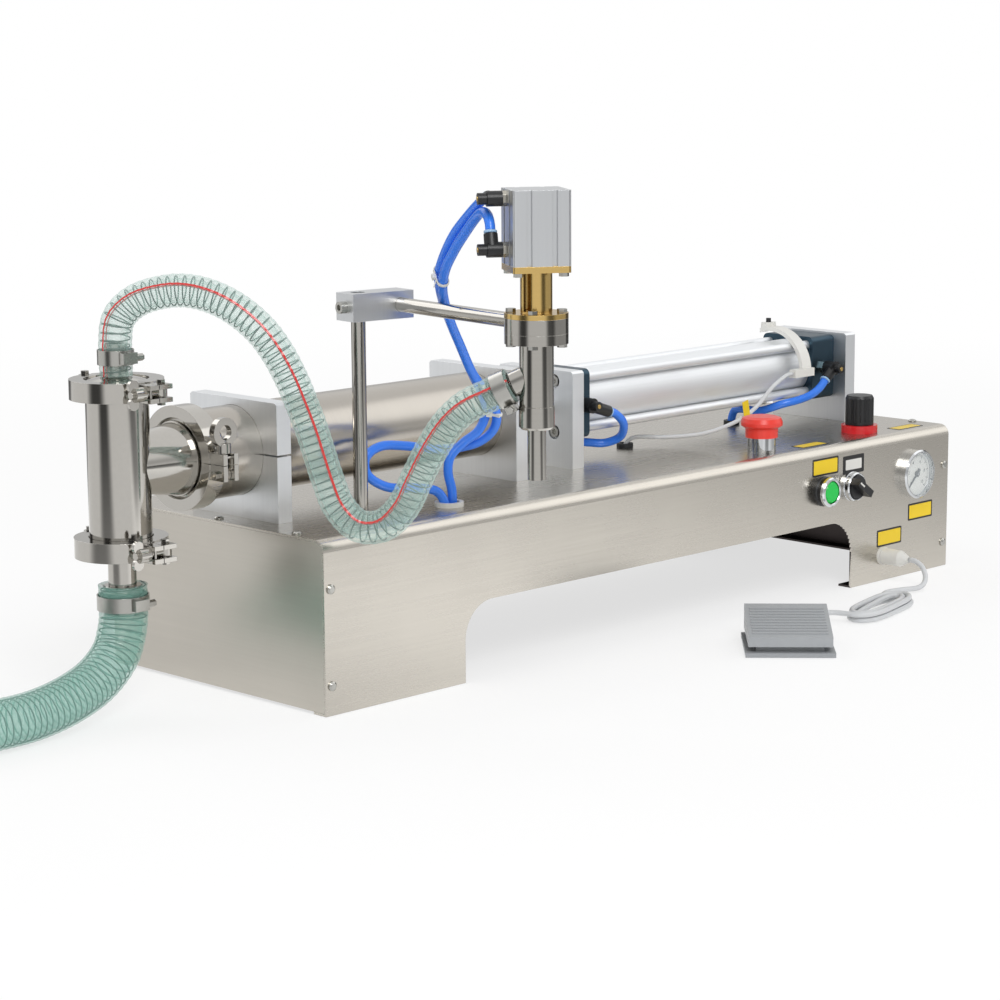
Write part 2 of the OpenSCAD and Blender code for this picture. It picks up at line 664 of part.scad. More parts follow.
// Position sensor on a clamp ring round the air cylinder
sensor_back = 28.5;
sensor_x = rear_cap_x - sensor_back;
sensor_w = 14;
sensor_in_r = tie_off*sqrt(2) + tie_r + 2*free_gap;
sensor_wall = 4;
ring_top_share = 0.1;
ring_side_share = 0.35;
sensor_out_r = sensor_in_r + sensor_wall;
switch_l = 30;
switch_w = 8;
sensor_screw_r = 2.5;
module sensor_ring() {
  color("white") along_x(sensor_x) {
    difference() {
      ring(sensor_out_r, sensor_in_r, sensor_w);
      translate([sensor_out_r*ring_top_share, -sensor_out_r - over, -over])
        cube([2*sensor_out_r, 2*sensor_out_r + 2*over, sensor_w + 2*over]);
      translate([-sensor_out_r - over, sensor_in_r*ring_side_share, -over])
        cube([2*sensor_out_r, 2*sensor_out_r, sensor_w + 2*over]);
    }
    translate([-switch_w/2, -sensor_out_r - switch_w/2, sensor_w - switch_l])
      cube([switch_w, switch_w, switch_l]);
    translate([-sensor_out_r - switch_w/2, sensor_in_r*ring_top_share, 0])
      cube([switch_w, switch_w, sensor_w]);
  }
  color("black") translate([sensor_x + sensor_w/2, sensor_in_r*ring_top_share + switch_w/2,
    axis_z + sensor_out_r + switch_w/2]) cylinder(r = sensor_screw_r, h = switch_w/2);
}

// Throttle fitting: thread, nut, swivel body with a tube arm, knob
throttle_stub = 6;
throttle_nut_w = 14;
throttle_nut_h = 4;
throttle_body_r = 7;
throttle_body_h = 16;
throttle_arm_h = 12;
throttle_arm_r = 5.5;
throttle_knob_r = 4.5;
throttle_knob_h = 7;
throttle_dot_r = 2;
throttle_dot_h = 0.6;
module throttle(turn, arm, stub_r, stub_l, share = 1) {
  color("gainsboro") {
    translate([0, 0, -stub_l]) cylinder(r = stub_r - fit_gap/2, h = stub_l);
    cylinder(d = throttle_nut_w*share, h = throttle_nut_h, $fn = 6);
  }
  color("black") {
    translate([0, 0, throttle_nut_h])
      cylinder(r = throttle_body_r*share, h = throttle_body_h - throttle_nut_h);
    translate([0, 0, throttle_arm_h]) rotate([0, 0, turn]) rotate([0, 90, 0])
      cylinder(r = throttle_arm_r, h = arm);
    translate([0, 0, throttle_body_h]) cylinder(r = throttle_knob_r, h = throttle_knob_h);
  }
  color("gold") translate([0, 0, throttle_body_h + throttle_knob_h])
    cylinder(r = throttle_dot_r, h = throttle_dot_h);
}
front_port_x = front_cap_x + port_inset;
rear_port_x = rear_plate_x - port_inset - port_r;
// How far each tube arm reaches along X and Z
front_reach = [24.5, -8];
rear_reach = [-11.5, -10];
module cap_throttle(x, reach) translate([x, -cap_w/2, axis_z]) rotate([90, 0, 0])
  throttle(atan2(reach[1], reach[0]), norm(reach) - fit_gap, port_r, throttle_stub);
module cylinder_throttles() {
  cap_throttle(front_port_x, front_reach);
  cap_throttle(rear_port_x, rear_reach);
}

// Check valve: a tube with a joint at each end, a branch to the barrel and two seats
module ferrule(rim, tube, l) rotate_extrude() polygon([[0, 0], [rim, 0], [rim, rim_t],
  [tube, rim_t + (rim - tube)*rim_slope], [tube, l], [0, l]]);
module at_valve(z) { translate([valve_x, 0, z]) children(); }
pin_over = ball_r + ball_lift + free_gap + stop_pin_r;
module valve_body() color("silver") {
  face = gasket_t/2;
  difference() {
    union() {
      at_valve(valve_low_z + face) ferrule(small_rim_r, valve_r, valve_l/2);
      at_valve(valve_high_z - face) mirror([0, 0, 1]) ferrule(small_rim_r, valve_r, valve_l/2);
      along_x(valve_x)
        cylinder(r1 = branch_root_r, r2 = branch_r, h = branch_l - face - rim_t);
      along_x(joint_x - face) mirror([0, 0, 1]) ferrule(big_rim_r, branch_r, ferrule_l);
    }
    at_valve(valve_low_z - over) cylinder(r = valve_bore_r, h = valve_l + 2*over);
    along_x(valve_x) cylinder(r1 = branch_root_r - valve_wall,
      r2 = branch_r - valve_wall, h = branch_l + over);
  }
  for (z = [low_ball_z - ball_sit, seat_high]) at_valve(z - seat_t)
    ring(valve_bore_r + valve_wall/2, seat_r, seat_t);
  for (z = [low_ball_z, high_ball_z]) at_valve(z + pin_over) rotate([90, 0, 0])
    cylinder(r = stop_pin_r, h = 2*valve_bore_r + valve_wall, center = true);
}
module inlet_ball() color("white") at_valve(low_ball_z) sphere(r = ball_r);
module outlet_ball() color("white") at_valve(high_ball_z) sphere(r = ball_r);

nipple_neck_r = 24;
top_nipple_h = 9;
barb_play = 0.4;
top_barb_r = outlet_bore/2 - barb_play;
top_barb_l = 26;
top_bore_r = 7.2;
low_neck_r = 11.5;
low_neck_h = 31;
low_barb_r = suction_bore/2 - barb_play;
low_barb_l = 24;
low_bore_r = 9;
barb_step = 0.7;
barb_rise_share = 0.2;
module barb(r, l, n) rotate_extrude() polygon(concat([[0, 0]],
  [for (i = [0:n - 1]) each [[r - barb_step, l*i/n], [r, l*(i + barb_rise_share)/n]]],
  [[r - barb_step, l], [0, l]]));
module nipple_disc(h, neck) rotate_extrude() polygon([[0, 0], [small_rim_r, 0],
  [small_rim_r, rim_t], [nipple_neck_r, rim_t + (small_rim_r - nipple_neck_r)*rim_slope],
  [neck, h], [0, h]]);
module valve_nipples() color("silver") {
  at_valve(valve_high_z + gasket_t/2) difference() {
    union() {
      nipple_disc(top_nipple_h - free_gap, top_barb_r);
      translate([0, 0, top_nipple_h - free_gap]) barb(top_barb_r, top_barb_l, 5);
    }
    translate([0, 0, -over]) cylinder(r = top_bore_r, h = top_nipple_h + top_barb_l + over);
  }
  at_valve(valve_low_z - gasket_t/2) mirror([0, 0, 1]) difference() {
    union() {
      nipple_disc(top_nipple_h, low_neck_r);
      cylinder(r = low_neck_r, h = low_neck_h);
      translate([0, 0, low_neck_h]) barb(low_barb_r, low_barb_l, 5);
    }
    translate([0, 0, -over]) cylinder(r = low_bore_r, h = low_neck_h + low_barb_l + 2*over);
  }
}
module valve_gaskets() color("white") {
  for (z = [valve_low_z, valve_high_z]) at_valve(z - gasket_t/2)
    ring(small_rim_r, valve_bore_r, gasket_t);
  along_x(joint_x - gasket_t/2) ring(big_rim_r, branch_r - valve_wall, gasket_t);
}

// Hinged clamp round a joint: pipe along Z, hinge at +Y, bolt along X at -Y
ear_out = 17;
ear_right = 13;
ear_left = 9;
ear_root = 4;
bolt_out = 8;
bolt_r = 3;
slot_half = 3.4;
eye_x = 8.5;
eye_r = 5;
keeper_x = -6;
keeper_out = 5.5;
clamp_pin_r = 2.3;
clamp_pin_head_r = 3.5;
clamp_pin_head_h = 3;
knuckle_r = 5;
knuckle_out = 3.5;
wing_nut_r = 6;
wing_nut_l = 10;
wing_r = 5;
wing_off = 7;
wing_t = 3;
eye_nut_l = 8;
eye_ring_r = 12;
eye_hole_r = 6;
eye_ring_t = 6;
wing_bolt_end = 22;
eye_bolt_end = 19.5;
ear_share = 0.9;
module clamp_profile(hold, rim, out, w) {
  deep = gasket_t/2 + rim_t + free_gap;
  wide = deep + (rim - hold)*rim_slope;
  polygon([[hold, w/2], [out, w/2], [out, -w/2], [hold, -w/2], [hold, -wide],
    [rim + free_gap, -deep], [rim + free_gap, deep], [hold, wide]]);
}
module clamp_half(side, hold, rim, out, w) {
  h = w*ear_share;
  knuckle_y = out + knuckle_out;
  difference() {
    union() {
      difference() {
        union() {
          rotate_extrude($fn = 96) clamp_profile(hold, rim, out, w);
          translate([-ear_left, -out - ear_out, -h/2])
            cube([ear_left + ear_right, ear_out + ear_root, h]);
        }
        translate([side > 0 ? free_gap - 2*out : -free_gap, -2*out, -w])
          cube([2*out, 4*out, 2*w]);
      }
      translate([0, knuckle_y, side > 0 ? -h/6 + free_gap/2 : -h/2])
        cylinder(r = knuckle_r, h = side > 0 ? h/3 - free_gap : h/3 - free_gap/2);
      if (side < 0) translate([0, knuckle_y, h/6 + free_gap/2])
        cylinder(r = knuckle_r, h = h/3 - free_gap/2);
    }
    if (side > 0) for (s = [0, 1]) mirror([0, 0, s]) translate([0, knuckle_y, h/6])
      cylinder(r = knuckle_r + free_gap, h = w);
    if (side < 0) translate([0, knuckle_y, 0])
      cylinder(r = knuckle_r + free_gap, h = h/3 + free_gap, center = true);
    translate([0, knuckle_y, -w]) cylinder(r = clamp_pin_r + fit_gap/2, h = 2*w);
    translate([-2*ear_right, -out - ear_out - over, -slot_half])
      cube([4*ear_right, ear_out + over - bolt_out + eye_r + free_gap, 2*slot_half]);
    translate([eye_x, -out - bolt_out, -w]) cylinder(r = clamp_pin_r + fit_gap/2, h = 2*w);
    translate([keeper_x, -out - bolt_out - keeper_out, -w])
      cylinder(r = clamp_pin_r/2 + fit_gap/2, h = 2*w);
  }
}
module clamp_pair(hold, rim, out, w) for (s = [-1, 1]) clamp_half(s, hold, rim, out, w);
module clamp_pins(out, w, end) {
  h = w*ear_share;
  for (p = [[0, out + knuckle_out], [eye_x, -out - bolt_out]]) translate([p[0], p[1], 0]) {
    cylinder(r = clamp_pin_r, h = h + fit_gap, center = true);
    for (s = [-1, 1]) translate([0, 0, s*(h + clamp_pin_head_h + fit_gap)/2])
      cylinder(r = clamp_pin_head_r, h = clamp_pin_head_h, center = true, $fn = 6);
  }
  translate([keeper_x, -out - bolt_out - keeper_out, 0])
    cylinder(r = clamp_pin_r/2, h = h, center = true);
  translate([eye_x, -out - bolt_out, 0])
    cylinder(r = eye_r, h = 2*slot_half - 2*free_gap, center = true);
  translate([eye_x, -out - bolt_out, 0]) rotate([0, -90, 0])
    cylinder(r = bolt_r, h = eye_x + end);
}
module at_top_clamp() at_valve(valve_high_z) children();
module at_low_clamp() at_valve(valve_low_z) children();
module at_big_clamp() along_x(joint_x) children();
module clamp_halves() color("silver") {
  at_top_clamp() clamp_pair(small_hold_r, small_rim_r, small_clamp_r, small_clamp_w);
  at_low_clamp() clamp_pair(small_hold_r, small_rim_r, small_clamp_r, small_clamp_w);
  at_big_clamp() clamp_pair(big_hold_r, big_rim_r, big_clamp_r, big_clamp_w);
}
module clamp_bolts() color("gainsboro") {
  at_top_clamp() clamp_pins(small_clamp_r, small_clamp_w, wing_bolt_end);
  at_low_clamp() clamp_pins(small_clamp_r, small_clamp_w, wing_bolt_end);
  at_big_clamp() clamp_pins(big_clamp_r, big_clamp_w, eye_bolt_end);
}
module nut_place(out) translate([-ear_left - fit_gap, -out - bolt_out, 0])
  rotate([0, -90, 0]) children();
module wing_nut() difference() {
  union() {
    cylinder(r = wing_nut_r, h = wing_nut_l);
    for (s = [-1, 1]) translate([s*wing_off, 0, wing_nut_l])
      rotate([90, 0, 0]) cylinder(r = wing_r, h = wing_t, center = true);
  }
  translate([0, 0, -wing_nut_l]) cylinder(r = bolt_r + run_gap, h = 3*wing_nut_l);
}
module eye_nut() difference() {
  union() {
    cylinder(r = wing_nut_r, h = eye_nut_l);
    translate([0, 0, eye_nut_l + eye_ring_r - wing_t]) rotate([90, 0, 0])
      cylinder(r = eye_ring_r, h = eye_ring_t, center = true);
  }
  translate([0, 0, eye_nut_l + eye_ring_r - wing_t]) rotate([90, 0, 0])
    cylinder(r = eye_hole_r, h = 2*eye_ring_r, center = true);
  translate([0, 0, -over]) cylinder(r = bolt_r + run_gap, h = eye_nut_l + eye_ring_r);
}
module top_wing_nut() color("silver") at_top_clamp() nut_place(small_clamp_r) wing_nut();
module bottom_wing_nut() color("silver") at_low_clamp() nut_place(small_clamp_r) wing_nut();
module barrel_eye_nut() color("silver") at_big_clamp() nut_place(big_clamp_r) eye_nut();

// Worm clamp round a hose, axis along Z, centred
band_t = 1;
band_w = 12;
worm_w = 9;
worm_l = 14;
worm_h = 6;
worm_r = 3;
module hose_band(hose_r) {
  difference() {
    union() {
      cylinder(r = hose_r + free_gap + band_t, h = band_w, center = true);
      translate([-worm_l/2, -hose_r - worm_h, -worm_w/2])
        cube([worm_l, worm_h, worm_w]);
    }
    cylinder(r = hose_r + free_gap, h = band_w + 2*over, center = true);
  }
  translate([worm_l/2, -hose_r - worm_h/2, 0]) rotate([0, 90, 0])
    cylinder(r = worm_r, h = worm_l/2, $fn = 6);
}
band_rise = 25;
band_drop = 46;
top_band_z = valve_high_z + band_rise;
low_band_z = valve_low_z - band_drop;
module valve_hose_clamps() color("silver") {
  at_valve(top_band_z) hose_band(outlet_d/2);
  at_valve(low_band_z) hose_band(suction_d/2);
}

// Post and arm that carry the nozzle
post_nut_w = 17;
post_nut_h = 7;
post_stud_l = 14;
arm_hole_gap = 1;
module post() color("silver") translate([post_x, post_y, 0]) {
  translate([0, 0, base_h]) cylinder(r = post_r, h = arm_rise + post_cap);
  translate([0, 0, base_h - post_stud_l]) cylinder(r = stud_r, h = post_stud_l);
  translate([0, 0, base_h - sheet - post_nut_h]) cylinder(d = post_nut_w, h = post_nut_h, $fn = 6);
}
module cross_clamp() color("gainsboro") at_carriage() translate([0, 0, arm_z]) difference() {
  translate([-block_left, -block_w/2, -block_h/2])
    cube([block_left + arm_off + block_right, block_w, block_h]);
  cylinder(r = post_r + run_gap, h = block_h + 2*over, center = true);
  translate([arm_off, 0, 0]) rotate([90, 0, 0])
    cylinder(r = post_r + fit_gap/2, h = block_w + 2*over, center = true);
  translate([-block_left - over, 0, 0]) rotate([0, 90, 0])
    cylinder(r = m6_r + fit_gap/2, h = block_left + over);
  translate([arm_off, 0, 0]) rotate([0, 90, 0])
    cylinder(r = m6_r + fit_gap/2, h = block_right + over);
}
flange_bolt_head_r = 4;
flange_bolt_head_h = 3;
flange_turn = 45;
module flange_bolts_at() for (a = [0:90:270]) rotate([0, 0, flange_turn + a])
  translate([flange_bolt_r, 0, 0]) children();
module nozzle_screws() color("gainsboro") {
  at_carriage() translate([0, 0, arm_z]) {
    translate([-block_left, 0, 0]) rotate([0, -90, 0])
      socket_screw(m6_head_r, m6_head_h, m6_r, block_left - post_r - fit_gap);
    translate([arm_off + block_right, 0, 0]) rotate([0, 90, 0])
      socket_screw(m6_head_r, m6_head_h, m6_r, block_right - post_r - fit_gap);
  }
  at_nozzle() flange_bolts_at() {
    top = brass_z + brass_flange_t;
    translate([0, 0, top]) cylinder(r = flange_bolt_head_r, h = flange_bolt_head_h, $fn = 6);
    translate([0, 0, body_top_z - flange_t - flange_bolt_head_h])
      cylinder(r = flange_bolt_head_r, h = flange_bolt_head_h, $fn = 6);
    translate([0, 0, body_top_z - flange_t])
      cylinder(r = m5_r, h = top - body_top_z + flange_t);
  }
  at_head() for (sx = [-1, 1], sy = [-1, 1])
    translate([sx*head_screw_off, sy*head_screw_off, head_z - brass_top_t]) {
      mirror([0, 0, 1]) cylinder(r = flange_bolt_head_r, h = flange_bolt_head_h, $fn = 6);
      cylinder(r = m5_r, h = brass_top_t + head_floor - free_gap);
    }
}
module nozzle_arm() color("silver") at_carriage() difference() {
  union() {
    translate([arm_off, arm_tail, arm_z]) rotate([90, 0, 0])
      cylinder(r = post_r, h = arm_tail + arm_reach - disc_d/2 + disc_t/4);
    translate([arm_off, -arm_reach, disc_z]) cylinder(d = disc_d, h = disc_t);
  }
  translate([arm_off, -arm_reach, disc_z + disc_t])
    cylinder(d = disc_d + 2*fit_gap, h = post_r);
  translate([arm_off, -arm_reach, disc_z - over]) {
    cylinder(r = plunger_r + arm_hole_gap, h = disc_t + 2*over);
    flange_bolts_at() cylinder(r = m5_r + fit_gap, h = disc_t + 2*over);
  }
}

// Nozzle: air cylinder, brass coupling, steel body with a side inlet, collar and tip
head_screw_in = 5;
head_screw_off = head_w/2 - head_screw_in;
head_groove_w = 4;
head_groove_depth = 2.5;
head_groove_step = 10;
head_corner_r = 2;
head_port_r = 4;
head_port_low = 12;
head_port_top = 7;
head_port_depth = 4;
module at_head() { at_nozzle() rotate([0, 0, head_turn]) children(); }
module nozzle_cylinder() color("gainsboro") at_head() translate([0, 0, head_z]) difference() {
  linear_extrude(head_h) difference() {
    soft_square(head_w, head_corner_r);
    for (a = [0, 90, 180, 270]) rotate(a) for (k = [-1, 1])
      translate([head_w/2, k*head_groove_step])
        square([2*head_groove_depth, head_groove_w], center = true);
  }
  translate([0, 0, head_floor]) cylinder(r = head_bore_r, h = head_h - head_floor - head_roof);
  translate([0, 0, -over]) cylinder(r = plunger_r + run_gap, h = head_floor + 2*over);
  for (sx = [-1, 1], sy = [-1, 1]) translate([sx*head_screw_off, sy*head_screw_off, -over])
    cylinder(r = m5_r + fit_gap/2, h = head_floor + over);
  for (z = [head_port_low, head_h - head_port_top]) translate([-head_w/2 - over, 0, z])
    rotate([0, 90, 0]) cylinder(r = head_port_r, h = head_port_depth + over);
}
head_thread_l = head_port_depth - free_gap;
high_arm_turn = 90;
low_arm_turn = 20;
module nozzle_throttles() at_head() {
  head_throttle(head_z + head_h - head_port_top, high_arm_turn);
  head_throttle(head_z + head_port_low, low_arm_turn);
}
module head_throttle(z, turn) translate([-head_w/2, 0, z]) rotate([0, -90, 0])
  throttle(turn, head_fitting_arm - head_arm_gap, head_port_r, head_thread_l, head_fitting_share);
head_fitting_arm = 13;
head_arm_gap = 0.7;
head_fitting_share = 0.86;
module nozzle_coupling() color("gold") at_nozzle() translate([0, 0, brass_z]) difference() {
  union() {
    cylinder(d = disc_d, h = brass_flange_t);
    cylinder(d = brass_d, h = brass_flange_t + brass_h + bite);
    translate([0, 0, brass_flange_t + brass_h]) rotate([0, 0, head_turn])
      linear_extrude(brass_top_t) soft_square(head_w, head_corner_r);
  }
  translate([0, 0, -over])
    cylinder(r = plunger_r + run_gap, h = head_z - brass_z + 2*over);
  translate([0, 0, brass_flange_t]) cylinder(r = brass_bore_r, h = brass_h);
  for (a = [0, 180]) rotate([0, 0, a + window_turn])
    translate([0, -window_w/2, brass_flange_t + window_in])
      cube([brass_d, window_w, brass_h - 2*window_in]);
  flange_bolts_at() translate([0, 0, -over])
    cylinder(r = m5_r + fit_gap, h = brass_flange_t + 2*over);
  rotate([0, 0, head_turn]) for (sx = [-1, 1], sy = [-1, 1])
    translate([sx*head_screw_off, sy*head_screw_off, brass_flange_t + brass_h - over])
      cylinder(r = m5_r + fit_gap, h = brass_top_t + 2*over);
}
barb_root = 20;
barb_stem_r = 10.6;
band_in = 9;
module at_barb(d) { at_nozzle() translate([0, 0, barb_z]) rotate([0, 0, barb_turn])
  rotate([0, 90 + barb_dip, 0]) translate([0, 0, d]) children(); }
module nozzle_body() color("silver") difference() {
  union() {
    at_nozzle() translate([0, 0, body_top_z - nozzle_l]) cylinder(r = nozzle_r, h = nozzle_l);
    at_nozzle() translate([0, 0, body_top_z - flange_t]) cylinder(d = disc_d, h = flange_t);
    at_barb(0) cylinder(r = barb_stem_r, h = barb_root - free_gap);
    at_barb(barb_root - free_gap) barb(barb_r, barb_l, 5);
  }
  at_nozzle() {
    translate([0, 0, body_top_z - nozzle_l - over])
      cylinder(r = nozzle_r - nozzle_wall, h = nozzle_l - flange_t + over);
    translate([0, 0, body_top_z - flange_t - 2*over])
      cylinder(r = plunger_r + run_gap, h = flange_t + 3*over);
    translate([0, 0, body_top_z - flange_t - over]) flange_bolts_at()
      cylinder(r = m5_r + fit_gap, h = flange_t + 2*over);
  }
  at_barb(0) cylinder(r = top_bore_r, h = barb_root + barb_l + over);
}
seat_cone_h = 4;
collar_seat_h = 8;
module nozzle_tip() color("silver") at_nozzle() translate([0, 0, tip_z]) rotate_extrude()
  polygon([[tip_bore_r, 0], [tip_r, 0], [tip_r, tip_l],
    [collar_d/2 - sheet, tip_l], [collar_d/2, tip_l + sheet], [collar_d/2, tip_l + collar_h],
    [plug_r + sheet, tip_l + collar_h], [plug_r + sheet, tip_l + collar_seat_h],
    [tip_bore_r, tip_l + collar_seat_h - seat_cone_h]]);
module nozzle_plunger() color("gainsboro") at_nozzle() {
  translate([0, 0, collar_z + collar_seat_h - seat_cone_h + plunger_rise]) rotate_extrude()
    polygon([[0, 0], [tip_bore_r, 0], [plug_r, seat_cone_h*(plug_r - tip_bore_r)/cone_run],
      [plug_r, plug_l], [plunger_r, plug_l + sheet], [0, plug_l + sheet]]);
  bottom = collar_z + collar_seat_h - seat_cone_h + plunger_rise + plug_l;
  piston_z = head_z + head_floor + plunger_gap;
  translate([0, 0, bottom]) cylinder(r = plunger_r, h = piston_z - bottom + bite);
  translate([0, 0, piston_z]) cylinder(r = head_bore_r - run_gap, h = piston_disc_t);
}
cone_run = plug_r + sheet - tip_bore_r;
plunger_rise = free_gap/2;
plunger_gap = 1;
nozzle_band_at = barb_root + band_in;
module nozzle_hose_clamp() color("silver") at_barb(nozzle_band_at) rotate([0, 0, 90])
  hose_band(outlet_d/2);

// Controls
stop_neck_h = 20;
stop_skirt_r = 15.5;
stop_skirt_gap = 13.5;
stop_head_low = 25;
stop_head_h = 8.5;
stop_edge = 3;
stop_stem_r = 6;
under_l = 34;
bezel_h = 4;
bezel_edge = 1.5;
button_r = 10.5;
button_out = 12;
button_stem_r = 5;
button_stem_l = 20;
button_travel = 4;
stem_hole_l = button_stem_l + button_travel + 2*free_gap;
body_l = 30;
selector_r = 11.5;
selector_out = 10;
handle_w = 7;
handle_l = 25;
handle_h = 10;
reg_ring_r = 18;
reg_ring_h = 7.5;
reg_bowl_r = 20;
reg_bowl_l = 60;
reg_knob_h = 29;
reg_spindle_r = 4;
reg_spindle_l = 20;
reg_pull = 3;
knob_flutes = 18;
knob_flute_r = 1.2;
module panel_fittings() {
  color("gainsboro") {
    translate([stop_x, stop_y, base_h - sheet - under_l]) difference() {
      union() {
        cylinder(r = stop_body_r, h = under_l + sheet + bite);
        translate([0, 0, under_l + sheet]) cylinder(r = stop_neck_r, h = stop_neck_h);
      }
      translate([0, 0, under_l - stop_neck_h])
        cylinder(r = stop_stem_r + run_gap, h = 3*stop_neck_h);
    }
    for (p = [[start_x, start_z, button_r, button_travel + free_gap],
      [select_x, select_z, selector_r, 0]]) out_of_panel(p[0], p[1]) difference() {
      union() {
        rotate_extrude() polygon([[0, 0], [bezel_d/2, 0], [bezel_d/2, bezel_h - bezel_edge],
          [bezel_d/2 - bezel_edge, bezel_h], [0, bezel_h]]);
        translate([0, 0, -sheet - body_l]) cylinder(r = button_body_r, h = body_l + sheet + bite);
      }
      translate([0, 0, -p[3]]) cylinder(r = p[2] + run_gap, h = body_l);
      translate([0, 0, -stem_hole_l]) cylinder(r = button_stem_r + run_gap, h = stem_hole_l + over);
    }
  }
  color("white") out_of_panel(plug_x, plug_z) {
    ring(plug_flange_r, plug_core_r + free_gap, plug_flange_h);
    translate([0, 0, -sheet - fit_gap]) ring(plug_hole_r, plug_core_r + free_gap, sheet + 2*fit_gap);
    translate([0, 0, -sheet - body_l/2]) cylinder(r = plug_flange_r, h = body_l/2 - fit_gap);
  }
}
module estop_stem() color("dimgray")
  translate([stop_x, stop_y, base_h - stop_neck_h + stop_head_h]) cylinder(r = stop_stem_r,
    h = stop_neck_h - stop_head_h + stop_head_low - fit_gap);
module estop_button() color("red") translate([stop_x, stop_y, base_h]) rotate_extrude()
  polygon([[0, stop_head_low], [stop_neck_r + free_gap, stop_head_low],
    [stop_neck_r + free_gap, stop_skirt_gap], [stop_skirt_r, stop_skirt_gap], [stop_skirt_r + fit_gap, stop_head_low - stop_edge],
    [stop_head_d/2 - fit_gap, stop_head_low], [stop_head_d/2, stop_head_low + stop_edge],
    [stop_head_d/2 - stop_edge/2, stop_head_low + stop_head_h - stop_edge/2],
    [stop_head_d/2 - 2*stop_edge, stop_head_low + stop_head_h], [0, stop_head_low + stop_head_h]]);
module start_button() color("limegreen") out_of_panel(start_x, start_z) {
  rotate_extrude() polygon([[0, 0], [button_r, 0], [button_r, button_out - bezel_edge],
    [button_r - bezel_edge, button_out], [0, button_out]]);
  translate([0, 0, -button_stem_l]) cylinder(r = button_stem_r, h = button_stem_l + bite);
}
module selector_knob() color("black") out_of_panel(select_x, select_z) {
  translate([0, 0, free_gap]) cylinder(r = selector_r, h = selector_out - free_gap);
  translate([0, 0, -button_stem_l]) cylinder(r = button_stem_r, h = button_stem_l + bite);
  rotate([0, 0, selector_turn]) translate([-handle_l/2, -handle_w/2, selector_out - bite])
    cube([handle_l, handle_w, handle_h]);
}
selector_turn = -35;
module regulator_body() translate([reg_x, reg_y, base_h]) difference() {
  union() {
    color("crimson") cylinder(r = reg_ring_r, h = reg_ring_h);
    color("dimgray") {
      translate([0, 0, -sheet - fit_gap]) cylinder(r = reg_neck_r, h = sheet + fit_gap + bite);
      translate([0, 0, -sheet - fit_gap - reg_bowl_l]) cylinder(r = reg_bowl_r, h = reg_bowl_l);
    }
  }
  translate([0, 0, reg_ring_h - reg_spindle_l])
    cylinder(r = reg_spindle_r + run_gap, h = reg_spindle_l + over);
}
module regulator_spindle() color("silver") translate([reg_x, reg_y, base_h + reg_ring_h])
  translate([0, 0, -reg_spindle_l + free_gap])
    cylinder(r = reg_spindle_r, h = 2*reg_spindle_l);
module regulator_knob() color("black")
  translate([reg_x, reg_y, base_h + reg_ring_h + free_gap]) difference() {
    rotate_extrude() polygon([[0, 0], [reg_knob_d/2, 0],
      [reg_knob_d/2, reg_knob_h - stop_edge], [reg_knob_d/2 - stop_edge/2, reg_knob_h],
      [0, reg_knob_h]]);
    translate([0, 0, -over])
      cylinder(r = reg_spindle_r + run_gap, h = reg_spindle_l + over);
    for (i = [0:knob_flutes - 1]) rotate([0, 0, 360*i/knob_flutes])
      translate([reg_knob_d/2 + knob_flute_r/2, 0, stop_edge])
        cylinder(r = knob_flute_r, h = reg_knob_h, $fn = 16);
  }
gauge_rim = 2.5;
gauge_h = 8;
gauge_deep = 5.5;
gauge_body_l = 24;
gauge_pin_r = 1.2;
needle_hub_r = 3;
needle_t = 0.8;
needle_l = 18;
needle_tail = 6;
needle_w = 1.6;
needle_rest = 225;
module gauge_case() color("gainsboro") out_of_panel(gauge_x, gauge_z) {
  difference() {
    union() {
      rotate_extrude() polygon([[0, 0], [gauge_d/2, 0], [gauge_d/2, gauge_h - bezel_edge],
        [gauge_d/2 - bezel_edge, gauge_h], [0, gauge_h]]);
      translate([0, 0, -sheet - gauge_body_l])
        cylinder(r = gauge_body_r, h = gauge_body_l + sheet + bite);
    }
    translate([0, 0, gauge_h - gauge_deep])
      cylinder(r = gauge_d/2 - gauge_rim, h = gauge_deep + over);
  }
  translate([0, 0, gauge_h - gauge_deep - bite]) cylinder(r = gauge_pin_r, h = bite + gauge_deep/2);
}
module gauge_needle() color("black") out_of_panel(gauge_x, gauge_z)
  translate([0, 0, gauge_h - gauge_deep + free_gap]) difference() {
    union() {
      cylinder(r = needle_hub_r, h = 2*needle_t);
      rotate([0, 0, needle_rest]) linear_extrude(needle_t)
        polygon([[-needle_tail, -needle_w], [needle_l, -needle_w/4], [needle_l, needle_w/4],
          [-needle_tail, needle_w]]);
    }
    translate([0, 0, -over]) cylinder(r = gauge_pin_r + run_gap, h = 3*over + needle_t);
  }
plug_flange_r = 9;
plug_flange_h = 3;
plug_core_r = 5;
plug_r_out = 8;
plug_l_out = 33;
plug_step = 3.4;
plug_tail_l = 10;
module cable_plug() color("white") out_of_panel(plug_x, plug_z) rotate_extrude()
  polygon([[0, -sheet], [plug_core_r, -sheet], [plug_core_r, plug_step],
    [plug_r_out, plug_step], [plug_r_out, plug_l_out - plug_tail_l],
    [foot_cable_d/2 + 3*fit_gap, plug_l_out], [0, plug_l_out]]);

